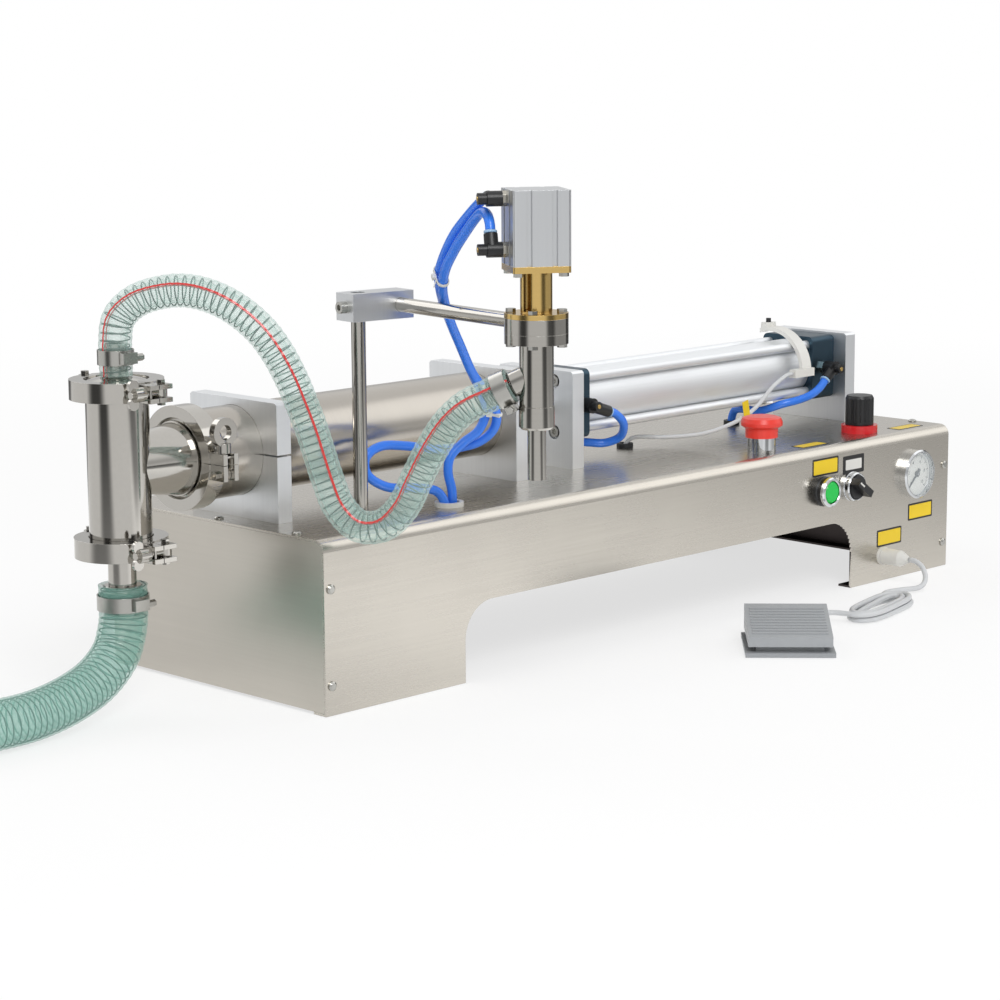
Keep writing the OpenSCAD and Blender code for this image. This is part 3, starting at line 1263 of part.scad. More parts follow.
// Foot switch: a flat base, a hinged pedal over it
foot_in = 426.1;
foot_x = right_x - foot_in;
foot_y = -279.3;
foot_turn = -47.4;
foot_base_t = 4;
foot_lip = 1.5;
foot_core_inset = 8;
foot_core_h = 10;
pedal_front_h = 18;
pedal_back_h = 31;
pedal_low = 9;
pedal_wall = 2.5;
pedal_inset = 1;
pedal_pin_y = 70;
pedal_pin_z = 16;
pedal_pin_r = 2.5;
pedal_rib_h = 0.9;
pedal_rib_w = 2.4;
pedal_rib_step = 6.4;
pedal_ribs = 10;
gland_out = 7;
gland_r_out = 4;
gland_room = 1;
gland_z = 9;
ear_t = 4;
module at_foot() translate([foot_x, foot_y, 0]) rotate([0, 0, foot_turn]) children();
module across(w) rotate([90, 0, 90]) linear_extrude(w, center = true) children();
pin_half = foot_w/2 - pedal_inset;
module foot_base() color("darkgray") at_foot() {
  translate([-foot_w/2 - foot_lip, -foot_lip, 0])
    cube([foot_w + 2*foot_lip, foot_l + 2*foot_lip, foot_base_t]);
  translate([-foot_w/2 + foot_core_inset, foot_core_inset, 0])
    cube([foot_w - 2*foot_core_inset, foot_l - 2*foot_core_inset, foot_core_h]);
  for (s = [-1, 1]) translate([s*(pin_half - pedal_wall - free_gap - ear_t/2), pedal_pin_y, 0])
    translate([-ear_t/2, -2*pedal_pin_r, 0])
      cube([ear_t, 4*pedal_pin_r, pedal_pin_z + 2*pedal_pin_r]);
  translate([0, pedal_pin_y, pedal_pin_z]) rotate([0, 90, 0])
    cylinder(r = pedal_pin_r, h = 2*pin_half - 2*fit_gap, center = true);
  translate([gland_x, foot_l - foot_core_inset - bite, gland_z]) rotate([-90, 0, 0])
    cylinder(r = gland_r_out, h = foot_core_inset + gland_out + bite);
}
gland_x = foot_w/4;
pedal_rise = (pedal_back_h - pedal_front_h)/(foot_l - 2*pedal_inset);
module foot_pedal() color("gray") at_foot() difference() {
  union() {
    across(foot_w - 2*pedal_inset) polygon([[pedal_inset, pedal_low],
      [foot_l - pedal_inset, pedal_low], [foot_l - pedal_inset, pedal_back_h],
      [pedal_inset, pedal_front_h]]);
    for (i = [1:pedal_ribs]) across(foot_w - 4*pedal_rib_w) let (y = pedal_inset + i*pedal_rib_step,
      z = pedal_front_h + (y - pedal_inset)*pedal_rise)
      polygon([[y, z - bite], [y + pedal_rib_w, z - bite],
        [y + pedal_rib_w, z + pedal_rib_h + pedal_rib_w*pedal_rise], [y, z + pedal_rib_h]]);
  }
  across(foot_w - 2*pedal_inset - 2*pedal_wall) polygon([[pedal_inset + pedal_wall, 0],
    [foot_l - pedal_inset - pedal_wall, 0],
    [foot_l - pedal_inset - pedal_wall, pedal_back_h - pedal_wall],
    [pedal_inset + pedal_wall, pedal_front_h - pedal_wall]]);
  translate([0, pedal_pin_y, pedal_pin_z]) rotate([0, 90, 0])
    cylinder(r = pedal_pin_r + run_gap, h = foot_w, center = true);
  translate([gland_x - gland_r_out - gland_room, foot_l - 2*foot_core_inset, 0])
    cube([2*gland_r_out + 2*gland_room, 3*foot_core_inset, gland_z + gland_r_out + 2*gland_room]);
}

// Hoses, tubes and cables
suction_ribs = 90;
outlet_ribs = 90;
suction_rib = 0.9;
outlet_rib = 0.6;
hose_sides = 8;
left_shift = [valve_x - suction_route[0][0], 0, 0];
front_shift = [front_port_x + front_reach[0] - front_tube[0][0], 0, 0];
rear_shift = [rear_port_x + rear_reach[0] - rear_tube[0][0], 0, 0];
right_shift = [plug_x - cable_from_plug[0][0], 0, 0];
module suction_hose() color("mediumseagreen") translate(left_shift)
  ribbed_hose(suction_route, suction_d/2, suction_bore/2, suction_rib, suction_ribs, hose_sides);
module outlet_hose() color("palegreen") translate(left_shift)
  ribbed_hose(outlet_route, outlet_d/2, outlet_bore/2, outlet_rib, outlet_ribs, hose_sides);
module nozzle_air_tubes() color("royalblue") translate(left_shift) {
  solid_tube(even(smooth(nozzle_tube_a, 6), 34), air_tube_d/2, 8);
  solid_tube(even(smooth(nozzle_tube_b, 6), 40), air_tube_d/2, 8);
}
module cylinder_air_tubes() color("royalblue") {
  translate(front_shift) solid_tube(even(smooth(front_tube, 6), 14), air_tube_d/2, 8);
  translate(rear_shift) solid_tube(even(smooth(rear_tube, 6), 14), air_tube_d/2, 8);
}
reed_r = 2;
module reed_cable() color("lightgray") translate(rear_shift)
  solid_tube(even(smooth(reed_route, 6), 36), reed_r, 8);
module foot_cable() color("lightgray") translate(right_shift) {
  solid_tube(even(smooth(cable_from_plug, 6), 18), foot_cable_d/2, 8);
  solid_tube(even(smooth(cable_to_switch, 6), 16), foot_cable_d/2, 8);
}
// Hank of spare cable: flat loops in two layers, drawn in at the waist
hank_in = 228.5;
hank_x = right_x - hank_in;
hank_y = -226;
hank_turn = 13;
hank_a = 56;
hank_b = 26;
hank_step = 8;
hank_layer = 5.6;
hank_turns = 3.5;
hank_waist_share = 0.3;
hank_rings = 24;
hank_rise = 0.7;
hank_swap = 0.5;
hank_z = foot_cable_d/2 + hank_rise;
function hank_climb(u) =
  hank_layer*min(max((u - hank_turns/2 + hank_swap/2)/hank_swap, 0), 1);
function hank_at(u) = let (v = u < hank_turns/2 ? u : hank_turns - u,
  a = hank_a - hank_step*v, b = hank_b - hank_step*v, t = -360*u)
  [hank_x, hank_y, hank_z] + turn_flat([a*cos(t),
    b*sin(t)*(1 - hank_waist_share*sin(t)*sin(t)), hank_climb(u)], hank_turn);
function turn_flat(p, t) = [p[0]*cos(t) - p[1]*sin(t), p[0]*sin(t) + p[1]*cos(t), p[2]];
hank_count = ceil(hank_turns*hank_rings);
hank_path = [for (i = [0:hank_count]) hank_at(hank_turns*i/hank_count)];
module foot_hank() color("lightgray") solid_tube(hank_path, foot_cable_d/2, 6);
hank_gap = min([for (i = [0:hank_count], j = [0:hank_count])
  if (abs(i - j) > hank_rings/3) norm(hank_path[i] - hank_path[j])]) - foot_cable_d;
echo(hank_gap = hank_gap, hank_start = hank_path[0], hank_end = hank_path[hank_count]);

base_wrap();
end_plates();
panel_screws();
deck_grommets();
barrel_block();
barrel_end_plate();
cylinder_plates();
plate_screws();
barrel();
product_piston();
piston_seals();
piston_rod();
air_piston();
air_caps();
air_tube();
tie_rods();
sensor_ring();
cylinder_throttles();
valve_body();
valve_nipples();
valve_gaskets();
inlet_ball();
outlet_ball();
clamp_halves();
clamp_bolts();
top_wing_nut();
bottom_wing_nut();
barrel_eye_nut();
valve_hose_clamps();
post();
cross_clamp();
nozzle_screws();
nozzle_arm();
nozzle_cylinder();
nozzle_coupling();
nozzle_body();
nozzle_tip();
nozzle_plunger();
nozzle_hose_clamp();
nozzle_throttles();
panel_fittings();
estop_stem();
estop_button();
start_button();
selector_knob();
regulator_body();
regulator_spindle();
regulator_knob();
gauge_case();
gauge_needle();
foot_base();
foot_pedal();
cable_plug();
suction_hose();
outlet_hose();
nozzle_air_tubes();
cylinder_air_tubes();
reed_cable();
foot_cable();
foot_hank();
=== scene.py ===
"""Looks of a bench liquid filler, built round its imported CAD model.

It dresses the model's steel, plastic and rubber, puts detailed hoses, tubes and cables in
place of the plain ones, adds the small printed and moulded parts, and sets up a plain studio.
"""

import json
import math

import bmesh
import bpy
from mathutils import Matrix, Vector

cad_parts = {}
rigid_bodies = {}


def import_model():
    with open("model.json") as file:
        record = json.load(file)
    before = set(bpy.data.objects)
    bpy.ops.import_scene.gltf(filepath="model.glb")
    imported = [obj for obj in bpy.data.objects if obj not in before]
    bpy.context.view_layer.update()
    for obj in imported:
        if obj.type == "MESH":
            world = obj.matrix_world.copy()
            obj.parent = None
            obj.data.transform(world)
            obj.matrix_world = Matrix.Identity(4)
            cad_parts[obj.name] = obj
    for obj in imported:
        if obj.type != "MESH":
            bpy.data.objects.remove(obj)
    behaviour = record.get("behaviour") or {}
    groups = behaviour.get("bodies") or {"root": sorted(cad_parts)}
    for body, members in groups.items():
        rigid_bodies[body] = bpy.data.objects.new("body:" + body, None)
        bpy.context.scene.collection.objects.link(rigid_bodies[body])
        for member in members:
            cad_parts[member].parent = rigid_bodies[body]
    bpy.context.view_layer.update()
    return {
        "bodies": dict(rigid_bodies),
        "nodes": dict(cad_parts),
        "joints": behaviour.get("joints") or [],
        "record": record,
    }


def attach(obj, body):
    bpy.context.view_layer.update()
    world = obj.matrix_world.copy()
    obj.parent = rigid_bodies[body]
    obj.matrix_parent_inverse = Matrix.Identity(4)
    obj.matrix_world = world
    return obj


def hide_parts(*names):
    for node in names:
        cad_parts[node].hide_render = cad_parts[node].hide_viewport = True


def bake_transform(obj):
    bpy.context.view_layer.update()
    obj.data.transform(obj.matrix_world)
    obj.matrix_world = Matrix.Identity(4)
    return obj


bl_info = {
    "name": "Bench Filler Looks",
    "version": (1, 0, 0),
    "blender": (4, 5, 0),
    "location": "3D View > Sidebar > Bench Filler",
    "description": "Finishes, hoses, labels and studio for a bench liquid filler",
    "category": "Object",
}

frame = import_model()
NODES = frame["nodes"]
MM = 0.001


def linear(code):
    """An sRGB hex colour as linear RGBA."""
    parts = [int(code[i : i + 2], 16) / 255 for i in (1, 3, 5)]
    return (
        *[c / 12.92 if c <= 0.04045 else ((c + 0.055) / 1.055) ** 2.4 for c in parts],
        1.0,
    )


def colour_prop(name, code, about):
    """A colour that a user may change, with its sRGB hex as the default."""
    return bpy.props.FloatVectorProperty(
        name=name, description=about, subtype="COLOR", size=4, min=0, max=1, default=linear(code)
    )


def length_prop(name, value, about):
    """A length in metres that a user may change."""
    return bpy.props.FloatProperty(name=name, description=about, unit="LENGTH", default=value)


# Camera, fitted to the photograph: place, heading, dip and roll
EYE = (-1.8384, -1.7440, 0.5591)
HEADING = math.radians(-45.188)
DIP = math.radians(10.148)
ROLL = math.radians(-0.358)
LENS = 98.64
SENSOR = 36

# Routes of the hoses, tubes and cables: the same points as in the CAD source, in millimetres
SUCTION_ROUTE = [
    (-516, 0, 104), (-516, 0, 92), (-516, 0, 80), (-519, -1, 66), (-530, -5, 48),
    (-556, -13, 33), (-590, -22, 25), (-625, -28, 21), (-660, -32, 21), (-695, -27, 21),
    (-724, 0, 21), (-736, 40, 21), (-728, 80, 21), (-702, 112, 21), (-664, 130, 21),
    (-620, 134, 21), (-576, 130, 21),
]
OUTLET_ROUTE = [
    (-516, 0, 274), (-516, 0, 283), (-516, 0, 301), (-514, -3, 320), (-505, -15, 334),
    (-492, -33, 341), (-480, -49, 342), (-468, -66, 337), (-457, -82, 327),
    (-447, -97, 312), (-440, -108, 295), (-434, -117, 275), (-429, -124, 254),
    (-425, -130, 235), (-421, -135, 214), (-417, -140, 193), (-412, -147, 172),
    (-403, -160, 157), (-391, -176, 158), (-382, -190, 174), (-376, -199, 196),
    (-370, -210, 220), (-364, -221, 239), (-358, -231.5, 251.5), (-352.2, -240, 258.2),
    (-346.8, -247.3, 262.4), (-340.3, -256, 267.5), (-334.7, -263.6, 271.9),
]
NOZZLE_TUBE_A = [
    (-344.8, -249.2, 417), (-340.5, -242.5, 416.6), (-335, -230, 411.5), (-329, -212, 401),
    (-322, -189, 385), (-314, -169, 367), (-305, -153, 350), (-291, -140, 333),
    (-272, -128, 312), (-250, -117, 289), (-229, -110, 262), (-213, -107, 240),
    (-206, -106, 222), (-212, -103, 206), (-225, -97, 196), (-236, -93, 185),
    (-240, -94, 172), (-239, -97, 159), (-239, -98, 148), (-239, -98, 120),
]
NOZZLE_TUBE_B = [
    (-349.6, -256.4, 390.3), (-348.1, -254.2, 397.8), (-345.5, -248.5, 404.3),
    (-341.5, -239, 405), (-336.5, -227, 399.5), (-330.5, -210.5, 388), (-323, -189, 371),
    (-315, -170, 353), (-302, -154, 334), (-280, -139, 309), (-256, -127, 284),
    (-234, -119, 258), (-212, -117, 235), (-200, -113, 217), (-200, -106, 203),
    (-211, -95, 193), (-236, -80, 190), (-264, -69, 195), (-288, -63, 197),
    (-304, -61, 189), (-304, -63, 174), (-289, -71, 163), (-269, -82, 161),
    (-254, -93, 158), (-248, -98, 147), (-248, -98, 134), (-248, -98, 120),
]
FRONT_TUBE = [
    (16, -44, 192), (25.5, -44, 188.9), (39, -42, 178), (46, -32, 164), (40, -18, 157),
    (26, -8, 158), (11, -2, 160), (1, 0, 153), (0, 0, 140), (0, 0, 120),
]
REAR_TUBE = [
    (340, -44, 190), (331, -44, 182.2), (318, -42.5, 175.8), (304, -37, 171.5),
    (290, -28, 168), (280, -10, 161), (277, 8, 161), (277, 21, 159), (277, 26, 149),
    (277, 26, 136), (277, 26, 120),
]
REED_ROUTE = [
    (288.8, -42.3, 200), (281, -42.5, 200), (270, -44, 197), (252, -46, 190),
    (234, -46, 177), (216, -46, 168), (190, -44, 160), (160, -36, 154), (130, -16, 152),
    (107, 1, 153), (97, 6, 149), (94, 6, 141), (94, 6, 130), (94, 6, 120),
]
CABLE_FROM_PLUG = [
    (314, -171.3, 25), (314, -178, 25), (313, -188, 20), (307, -196, 11), (294, -199, 5),
    (276, -191, 4), (260, -186, 3.5), (249, -190, 3.2), (245, -202.5, 3.2),
    (247.4, -212.4, 3.2),
]
CABLE_TO_SWITCH = [
    (138.2, -237.5, 8.8), (136, -228, 9), (130, -217, 9), (119, -209, 8), (105, -209, 8),
    (91, -218, 9), (81, -226.5, 9), (72.5, -234.2, 9),
]
# The hank of spare cable, as in the CAD source
HANK_CENTRE = (193, -226)
HANK_TURN = 13
HANK_HALF_LENGTH = 56
HANK_HALF_WIDTH = 26
HANK_STEP = 8
HANK_LAYER = 5.6
HANK_TURNS = 3.5
HANK_WAIST = 0.3
HANK_LOW = 3.2
HANK_POINTS = 48


class FillerHoses(bpy.types.PropertyGroup):
    """Sizes and colours of the hoses, tubes and cables."""

    suction_diameter: length_prop("Suction hose", 0.040, "Outside diameter of the suction hose")
    suction_bore: length_prop("Suction bore", 0.032, "Bore of the suction hose")
    outlet_diameter: length_prop("Outlet hose", 0.027, "Outside diameter of the outlet hose")
    outlet_bore: length_prop("Outlet bore", 0.020, "Bore of the outlet hose")
    wire_pitch: length_prop("Wire pitch", 0.0062, "Distance between the turns of the steel wire")
    air_tube_diameter: length_prop("Air tube", 0.008, "Outside diameter of the air tubes")
    cable_diameter: length_prop("Cable", 0.005, "Diameter of the foot switch cable")
    reed_diameter: length_prop("Sensor cable", 0.004, "Diameter of the sensor cable")
    outlet_colour: colour_prop("Outlet hose tint", "#d2efe6", "Tint of the clear outlet hose")
    suction_colour: colour_prop("Suction hose tint", "#a2dacb", "Tint of the suction hose")
    stripe_colour: colour_prop("Stripe", "#cf3c3a", "Stripe along the outlet hose")
    tube_colour: colour_prop("Air tube", "#3a84f8", "Colour of the air tubes")
    collar_colour: colour_prop("Collar", "#9fc3e6", "Release collars of the air fittings")


class FillerFinishes(bpy.types.PropertyGroup):
    """Colours of the metal and the plastic."""

    steel: colour_prop("Steel", "#c6c1b8", "Brushed sheet steel of the base")
    barrel: colour_prop("Barrel", "#b4afa7", "Satin steel of the barrel")
    polished: colour_prop("Polished steel", "#bcb9b3", "Polished pipework, post and nozzle")
    aluminium: colour_prop("Aluminium", "#e6e8ea", "Machined plates, air tube and nozzle block")
    satin: colour_prop("Satin aluminium", "#eceef0", "Drawn tube of the air cylinder")
    slate: colour_prop("Slate", "#3c4f5c", "Dark caps of the air cylinder")
    brass: colour_prop("Brass", "#d6b673", "Coupling under the nozzle's air cylinder")
    red: colour_prop("Red", "#d8262c", "Stop head and regulator ring")
    green: colour_prop("Green", "#02cc4c", "Start button")
    grey: colour_prop("Grey", "#a8abae", "Pedal of the foot switch")
    grey_dark: colour_prop("Dark grey", "#a0a3a6", "Base of the foot switch")


class FillerStudio(bpy.types.PropertyGroup):
    """Light and floor of the studio."""

    key: bpy.props.FloatProperty(
        name="Key light", description="Power of the large light", unit="POWER", default=62
    )
    surround: bpy.props.FloatProperty(
        name="Surround", description="Strength of the light from all round", default=0.55
    )
    floor: colour_prop("Floor", "#ffffff", "Colour of the floor")


# ---- Meshes ----


def vector(point):
    """A point of the routes, in metres."""
    return Vector(point) * MM


def smooth(points, n):
    """The points of a Catmull-Rom line through a route, n to each stretch."""
    line = []
    last = len(points) - 1
    for i in range(last):
        a, b = points[max(i - 1, 0)], points[i]
        c, d = points[i + 1], points[min(i + 2, last)]
        for k in range(n):
            t = k / n
            bend = (2 * a - 5 * b + 4 * c - d) * t**2 + (3 * b - a - 3 * c + d) * t**3
            line.append(b + ((c - a) * t + bend) / 2)
    return line + [points[-1]]


def runs(line):
    """The distance along a line at each of its points."""
    total = [0.0]
    for a, b in zip(line, line[1:]):
        total.append(total[-1] + (b - a).length)
    return total


def even(line, step):
    """The line with its points about step apart."""
    total = runs(line)
    count = max(2, round(total[-1] / step))
    out, i = [], 0
    for j in range(count + 1):
        want = total[-1] * j / count
        while i < len(line) - 2 and total[i + 1] < want:
            i += 1
        share = (want - total[i]) / max(total[i + 1] - total[i], 1e-12)
        out.append(line[i].lerp(line[i + 1], min(share, 1.0)))
    return out


def carried_frames(line):
    """For each point: the tangent and two directions across, carried along without twist."""
    frames = []
    normal = None
    for i in range(len(line)):
        tangent = (line[min(i + 1, len(line) - 1)] - line[max(i - 1, 0)]).normalized()
        if normal is None:
            normal = Vector((1, 0, 0)) if abs(tangent.z) > 0.9 else Vector((0, 0, 1))
        normal = (normal - tangent * normal.dot(tangent)).normalized()
        frames.append((tangent, normal, tangent.cross(normal)))
    return frames


def new_object(name, mesh):
    """An object for a finished mesh, linked to the scene."""
    obj = bpy.data.objects.new(name, mesh)
    bpy.context.scene.collection.objects.link(obj)
    return obj


def mesh_of(name, verts, faces, smooth_shading=False):
    """A mesh with its normals outward."""
    mesh = bpy.data.meshes.new(name)
    mesh.from_pydata([tuple(v) for v in verts], [], faces)
    bm = bmesh.new()
    bm.from_mesh(mesh)
    bmesh.ops.recalc_face_normals(bm, faces=bm.faces)
    bm.to_mesh(mesh)
    bm.free()
    for poly in mesh.polygons:
        poly.use_smooth = smooth_shading
    mesh.update()
    return mesh


def put_mesh(mesh, material):
    """Makes a material the mesh's only one."""
    mesh.materials.clear()
    mesh.materials.append(material)
    return mesh


def placed(mesh, place, material):
    """An object of a mesh in its place and its material."""
    mesh.transform(place)
    return new_object(mesh.name, put_mesh(mesh, material))


def turns(steps):
    """Even steps round a circle, in radians."""
    return [2 * math.pi * i / steps for i in range(steps)]


def skinned(name, rings, loop=False, smooth_shading=False):
    """A mesh through rings of points: it has closed ends, or the last ring meets the first."""
    count, size = len(rings), len(rings[0])
    faces = [] if loop else [tuple(range(size)), tuple(range((count - 1) * size, count * size))]
    for i in range(count if loop else count - 1):
        a, b = i * size, (i + 1) % count * size
        for j in range(size):
            k = (j + 1) % size
            faces.append((a + j, a + k, b + k, b + j))
    return mesh_of(name, [point for ring in rings for point in ring], faces, smooth_shading)


def tube_mesh(name, line, outer, inner, sides):
    """A tube along a line: outer gives the radius at a distance, inner is the bore or 0.

    The UV map runs round the tube in U and along it, in metres, in V."""
    total = runs(line)
    frames = carried_frames(line)

    def ring(point, frame, radius):
        _, n, b = frame
        return [point + (n * math.cos(a) + b * math.sin(a)) * radius for a in turns(sides)]

    rings = [ring(point, frame, outer(s)) for point, frame, s in zip(line, frames, total)]
    if inner:
        rings += [ring(point, frame, inner) for point, frame in zip(line[::-1], frames[::-1])]
        total += total[::-1]
    mesh = skinned(name, rings, bool(inner), True)
    uv = mesh.uv_layers.new(name="along")
    for poly in mesh.polygons:
        js = [mesh.loops[i].vertex_index % sides for i in poly.loop_indices]
        wrap = max(js) - min(js) > sides / 2
        for i, j in zip(poly.loop_indices, js):
            row = mesh.loops[i].vertex_index // sides
            uv.data[i].uv = ((j + (sides if wrap and j < sides / 2 else 0)) / sides, total[row])
    return mesh


# ---- Materials ----


def node(tree, kind, inputs=None, **settings):
    """A node with its settings, and its inputs set or linked."""
    made = tree.nodes.new(kind)
    for name, value in settings.items():
        setattr(made, name, value)
    for key, value in (inputs or {}).items():
        if isinstance(value, bpy.types.NodeSocket):
            tree.links.new(value, made.inputs[key])
        else:
            made.inputs[key].default_value = value
    return made


def result(tree, kind, inputs=None, socket=0, **settings):
    """What a new node gives at one of its sockets."""
    return node(tree, kind, inputs, **settings).outputs[socket]


def calc(tree, operation, *values):
    """The result of a sum on values or sockets."""
    return result(tree, "ShaderNodeMath", dict(enumerate(values)), operation=operation)


def remap(tree, value, low, high, start=0.0, end=1.0, curve="LINEAR"):
    """A value whose way from start to end goes from low to high."""
    span = {"From Min": start, "From Max": end, "To Min": low, "To Max": high}
    return result(tree, "ShaderNodeMapRange", {"Value": value, **span}, interpolation_type=curve)


def noise(tree, place, scale, detail=2.0):
    """Soft noise over a place."""
    given = {"Vector": place, "Scale": scale, "Detail": detail}
    return result(tree, "ShaderNodeTexNoise", given, "Fac")


def mixed(tree, factor, first, second):
    """A colour between two."""
    given = {"Factor": factor, 6: first, 7: second}
    return result(tree, "ShaderNodeMix", given, 2, data_type="RGBA")


def deeper(colour, share):
    """A darker form of a colour."""
    return [c * share for c in colour[:3]] + [1]


def new_material(name):
    """An empty material, its tree and the object's coordinates in it."""
    material = bpy.data.materials.new(name)
    material.use_nodes = True
    tree = material.node_tree
    tree.nodes.clear()
    return material, tree, result(tree, "ShaderNodeTexCoord", socket="Object")


def with_shader(material, shader):
    """The material with the shader on its output."""
    node(material.node_tree, "ShaderNodeOutputMaterial", {"Surface": shader})
    return material


def principled(material, values):
    """The material with a Principled shader of these values."""
    return with_shader(material, result(material.node_tree, "ShaderNodeBsdfPrincipled", values))


# Depth of the relief, size of the plastic's grain and width of the metal's soft edges, in metres
RELIEF = 0.0002
PLASTIC_GRAIN = 0.0006
METAL_BEVEL = 0.0004
# Scales of the soft clouds, per metre, and how far they drift the gloss
PLASTIC_CLOUD, METAL_CLOUD = 40.0, 14.0
PLASTIC_DRIFT, METAL_DRIFT = 0.15, 0.07
# How dark the darkest drift of the colour is
PLASTIC_DEEP, METAL_DEEP, HOSE_DEEP = 0.9, 0.96, 0.92
PLASTIC_IOR, HOSE_IOR, GLASS_IOR = 1.49, 1.5, 1.45


def plain_plastic(name, colour, roughness, bump=0.05):
    """Moulded plastic: a fine sparkle texture in the bump and small drifts of colour."""
    material, tree, place = new_material(name)
    cloud = noise(tree, place, PLASTIC_CLOUD, 3.0)
    rough, smoother = roughness * (1 + PLASTIC_DRIFT), roughness * (1 - PLASTIC_DRIFT)
    fine = noise(tree, place, 1 / PLASTIC_GRAIN)
    relief = {"Height": fine, "Strength": bump, "Distance": RELIEF}
    skin = {
        "Base Color": mixed(tree, cloud, deeper(colour, PLASTIC_DEEP), colour),
        "Roughness": remap(tree, cloud, smoother, rough),
        "Normal": result(tree, "ShaderNodeBump", relief),
        "IOR": PLASTIC_IOR,
    }
    return principled(material, skin)


def worn_metal(name, colour, roughness, grain, bump):
    """Metal with a fine finish whose lines are long where the grain is small.

    The lines vary its gloss and its relief, and a soft cloud keeps wide faces from being even."""
    material, tree, place = new_material(name)
    drawn = result(tree, "ShaderNodeMapping", {"Vector": place, "Scale": grain})
    lines = noise(tree, drawn, 1.0, 4.0)
    shade = calc(tree, "ADD", lines, noise(tree, place, METAL_CLOUD, 3.0))
    rough, smoother = roughness * (1 + METAL_DRIFT), roughness * (1 - METAL_DRIFT)
    edge = result(tree, "ShaderNodeBevel", {"Radius": METAL_BEVEL}, samples=4)
    relief = {"Height": lines, "Strength": bump, "Distance": RELIEF, "Normal": edge}
    tone = remap(tree, shade, 0, 1, 0.7, 1.3)
    skin = {
        "Base Color": mixed(tree, tone, deeper(colour, METAL_DEEP), colour),
        "Metallic": 1.0,
        "Roughness": remap(tree, shade, rough, smoother, 0.7, 1.3),
        "Normal": result(tree, "ShaderNodeBump", relief),
    }
    return principled(material, skin)


def dress(obj, materials, rule=None):
    """Puts materials on an object; the rule gives each face's from its centre in millimetres."""
    obj.data.materials.clear()
    for material in materials:
        obj.data.materials.append(material)
    for poly in obj.data.polygons:
        poly.material_index = rule(poly.center * 1000) if rule else 0


# Scales of the noise that draws the brushing, per metre
EVEN_GRAIN = (260, 260, 260)
ALONG_X = (6, 420, 420)
ALONG_Y = (420, 6, 420)
ALONG_Z = (420, 420, 6)
ROUND_X = (700, 9, 9)
ROUND_Z = (9, 9, 700)


def metals(want):
    """Every metal of the machine by name, with what each gives the eye."""
    rows = {
        # Sheet steel, brushed along the base: long fine lines and a soft sheen
        "sheet_brushed_along": (want.steel, 0.27, ALONG_X, 0.0015),
        # The same sheet on the two ends, brushed across
        "sheet_brushed_across": (want.steel, 0.30, ALONG_Y, 0.0015),
        # Inside of the sheet: dull, and dark with painted shade, as under the arch in the
        # photograph
        "sheet_inside": (linear("#4c4645"), 0.50, ALONG_X, 0.02),
        # Barrel steel, turned satin: rings round the axis
        "barrel_turned_satin": (want.barrel, 0.22, ROUND_X, 0.02),
        # Polished pipework: bright, with only a trace of the polishing
        "pipework_polished": (want.polished, 0.09, EVEN_GRAIN, 0.002),
        # Nozzle and post steel, turned and polished round an upright axis
        "upright_polished": (linear("#b0ada7"), 0.12, ROUND_Z, 0.002),
        # Milled plates, bead blasted and clear anodised: soft and pale
        "plate_milled": (want.aluminium, 0.42, ALONG_Z, 0.03),
        # Drawn air tube and nozzle cylinder, satin anodised
        "tube_drawn_satin": (want.satin, 0.55, ALONG_X, 0.02),
        # Nozzle air cylinder, satin anodised upright
        "block_satin": (linear("#d3d5d7"), 0.34, ALONG_Z, 0.02),
        # Zinc plated screws and bands: bright, a little uneven
        "zinc_bright": (linear("#b4b3ae"), 0.24, EVEN_GRAIN, 0.03),
        # Hard chrome on rods: nearly a mirror
        "chrome_hard": (linear("#c9cbcd"), 0.08, ROUND_X, 0.0005),
        # Turned brass: warm, with rings
        "brass_turned": (want.brass, 0.20, ROUND_Z, 0.01),
        # Nickel on the fittings' nuts
        "nickel": (linear("#b9b5ab"), 0.18, EVEN_GRAIN, 0.01),
        # Dark anodised caps of the air cylinder: metal that stays soft and deep
        "caps_slate": (want.slate, 0.36, EVEN_GRAIN, 0.04),
    }
    return {name: worn_metal(name, *row) for name, row in rows.items()}


def plastics(want):
    """Every plastic and rubber by name."""
    rows = {
        "moulded_black": (linear("#17181a"), 0.38, 0.05),
        "moulded_white": (linear("#e6e5e0"), 0.42, 0.03),
        "ptfe_white": (linear("#e9e8e4"), 0.30, 0.01),
        "rubber_dark": (linear("#26282b"), 0.62, 0.08),
        "gasket_silicone": (linear("#e2e3df"), 0.35, 0.02),
        "gloss_red": (want.red, 0.20, 0.01),
        "stop_red": (linear("#ee3f33"), 0.30, 0.01),
        "gloss_green": (want.green, 0.18, 0.01),
        "bowl_grey": (linear("#6f757b"), 0.35, 0.03),
        "switch_grey": (want.grey, 0.50, 0.12),
        "switch_dark": (want.grey_dark, 0.52, 0.12),
    }
    return {name: plain_plastic(name, *row) for name, row in rows.items()}


# ---- Operators ----


class FILLER_OT_camera(bpy.types.Operator):
    """Put the camera where the photograph was taken from"""

    bl_idname = "filler.camera"
    bl_label = "Camera"

    def execute(self, context):
        lens = bpy.data.cameras.new("camera")
        lens.lens = LENS
        lens.sensor_width = SENSOR
        lens.clip_start, lens.clip_end = 0.05, 20
        camera = new_object("camera", lens)
        ahead = Vector((-math.sin(HEADING), math.cos(HEADING), 0)) * math.cos(DIP)
        ahead.z = -math.sin(DIP)
        level = Vector((math.cos(HEADING), math.sin(HEADING), 0))
        up = level.cross(ahead)
        right = level * math.cos(ROLL) + up * math.sin(ROLL)
        top = up * math.cos(ROLL) - level * math.sin(ROLL)
        turn = Matrix((right, top, -ahead)).transposed().to_4x4()
        camera.matrix_world = Matrix.Translation(EYE) @ turn
        context.scene.camera = camera
        return {"FINISHED"}


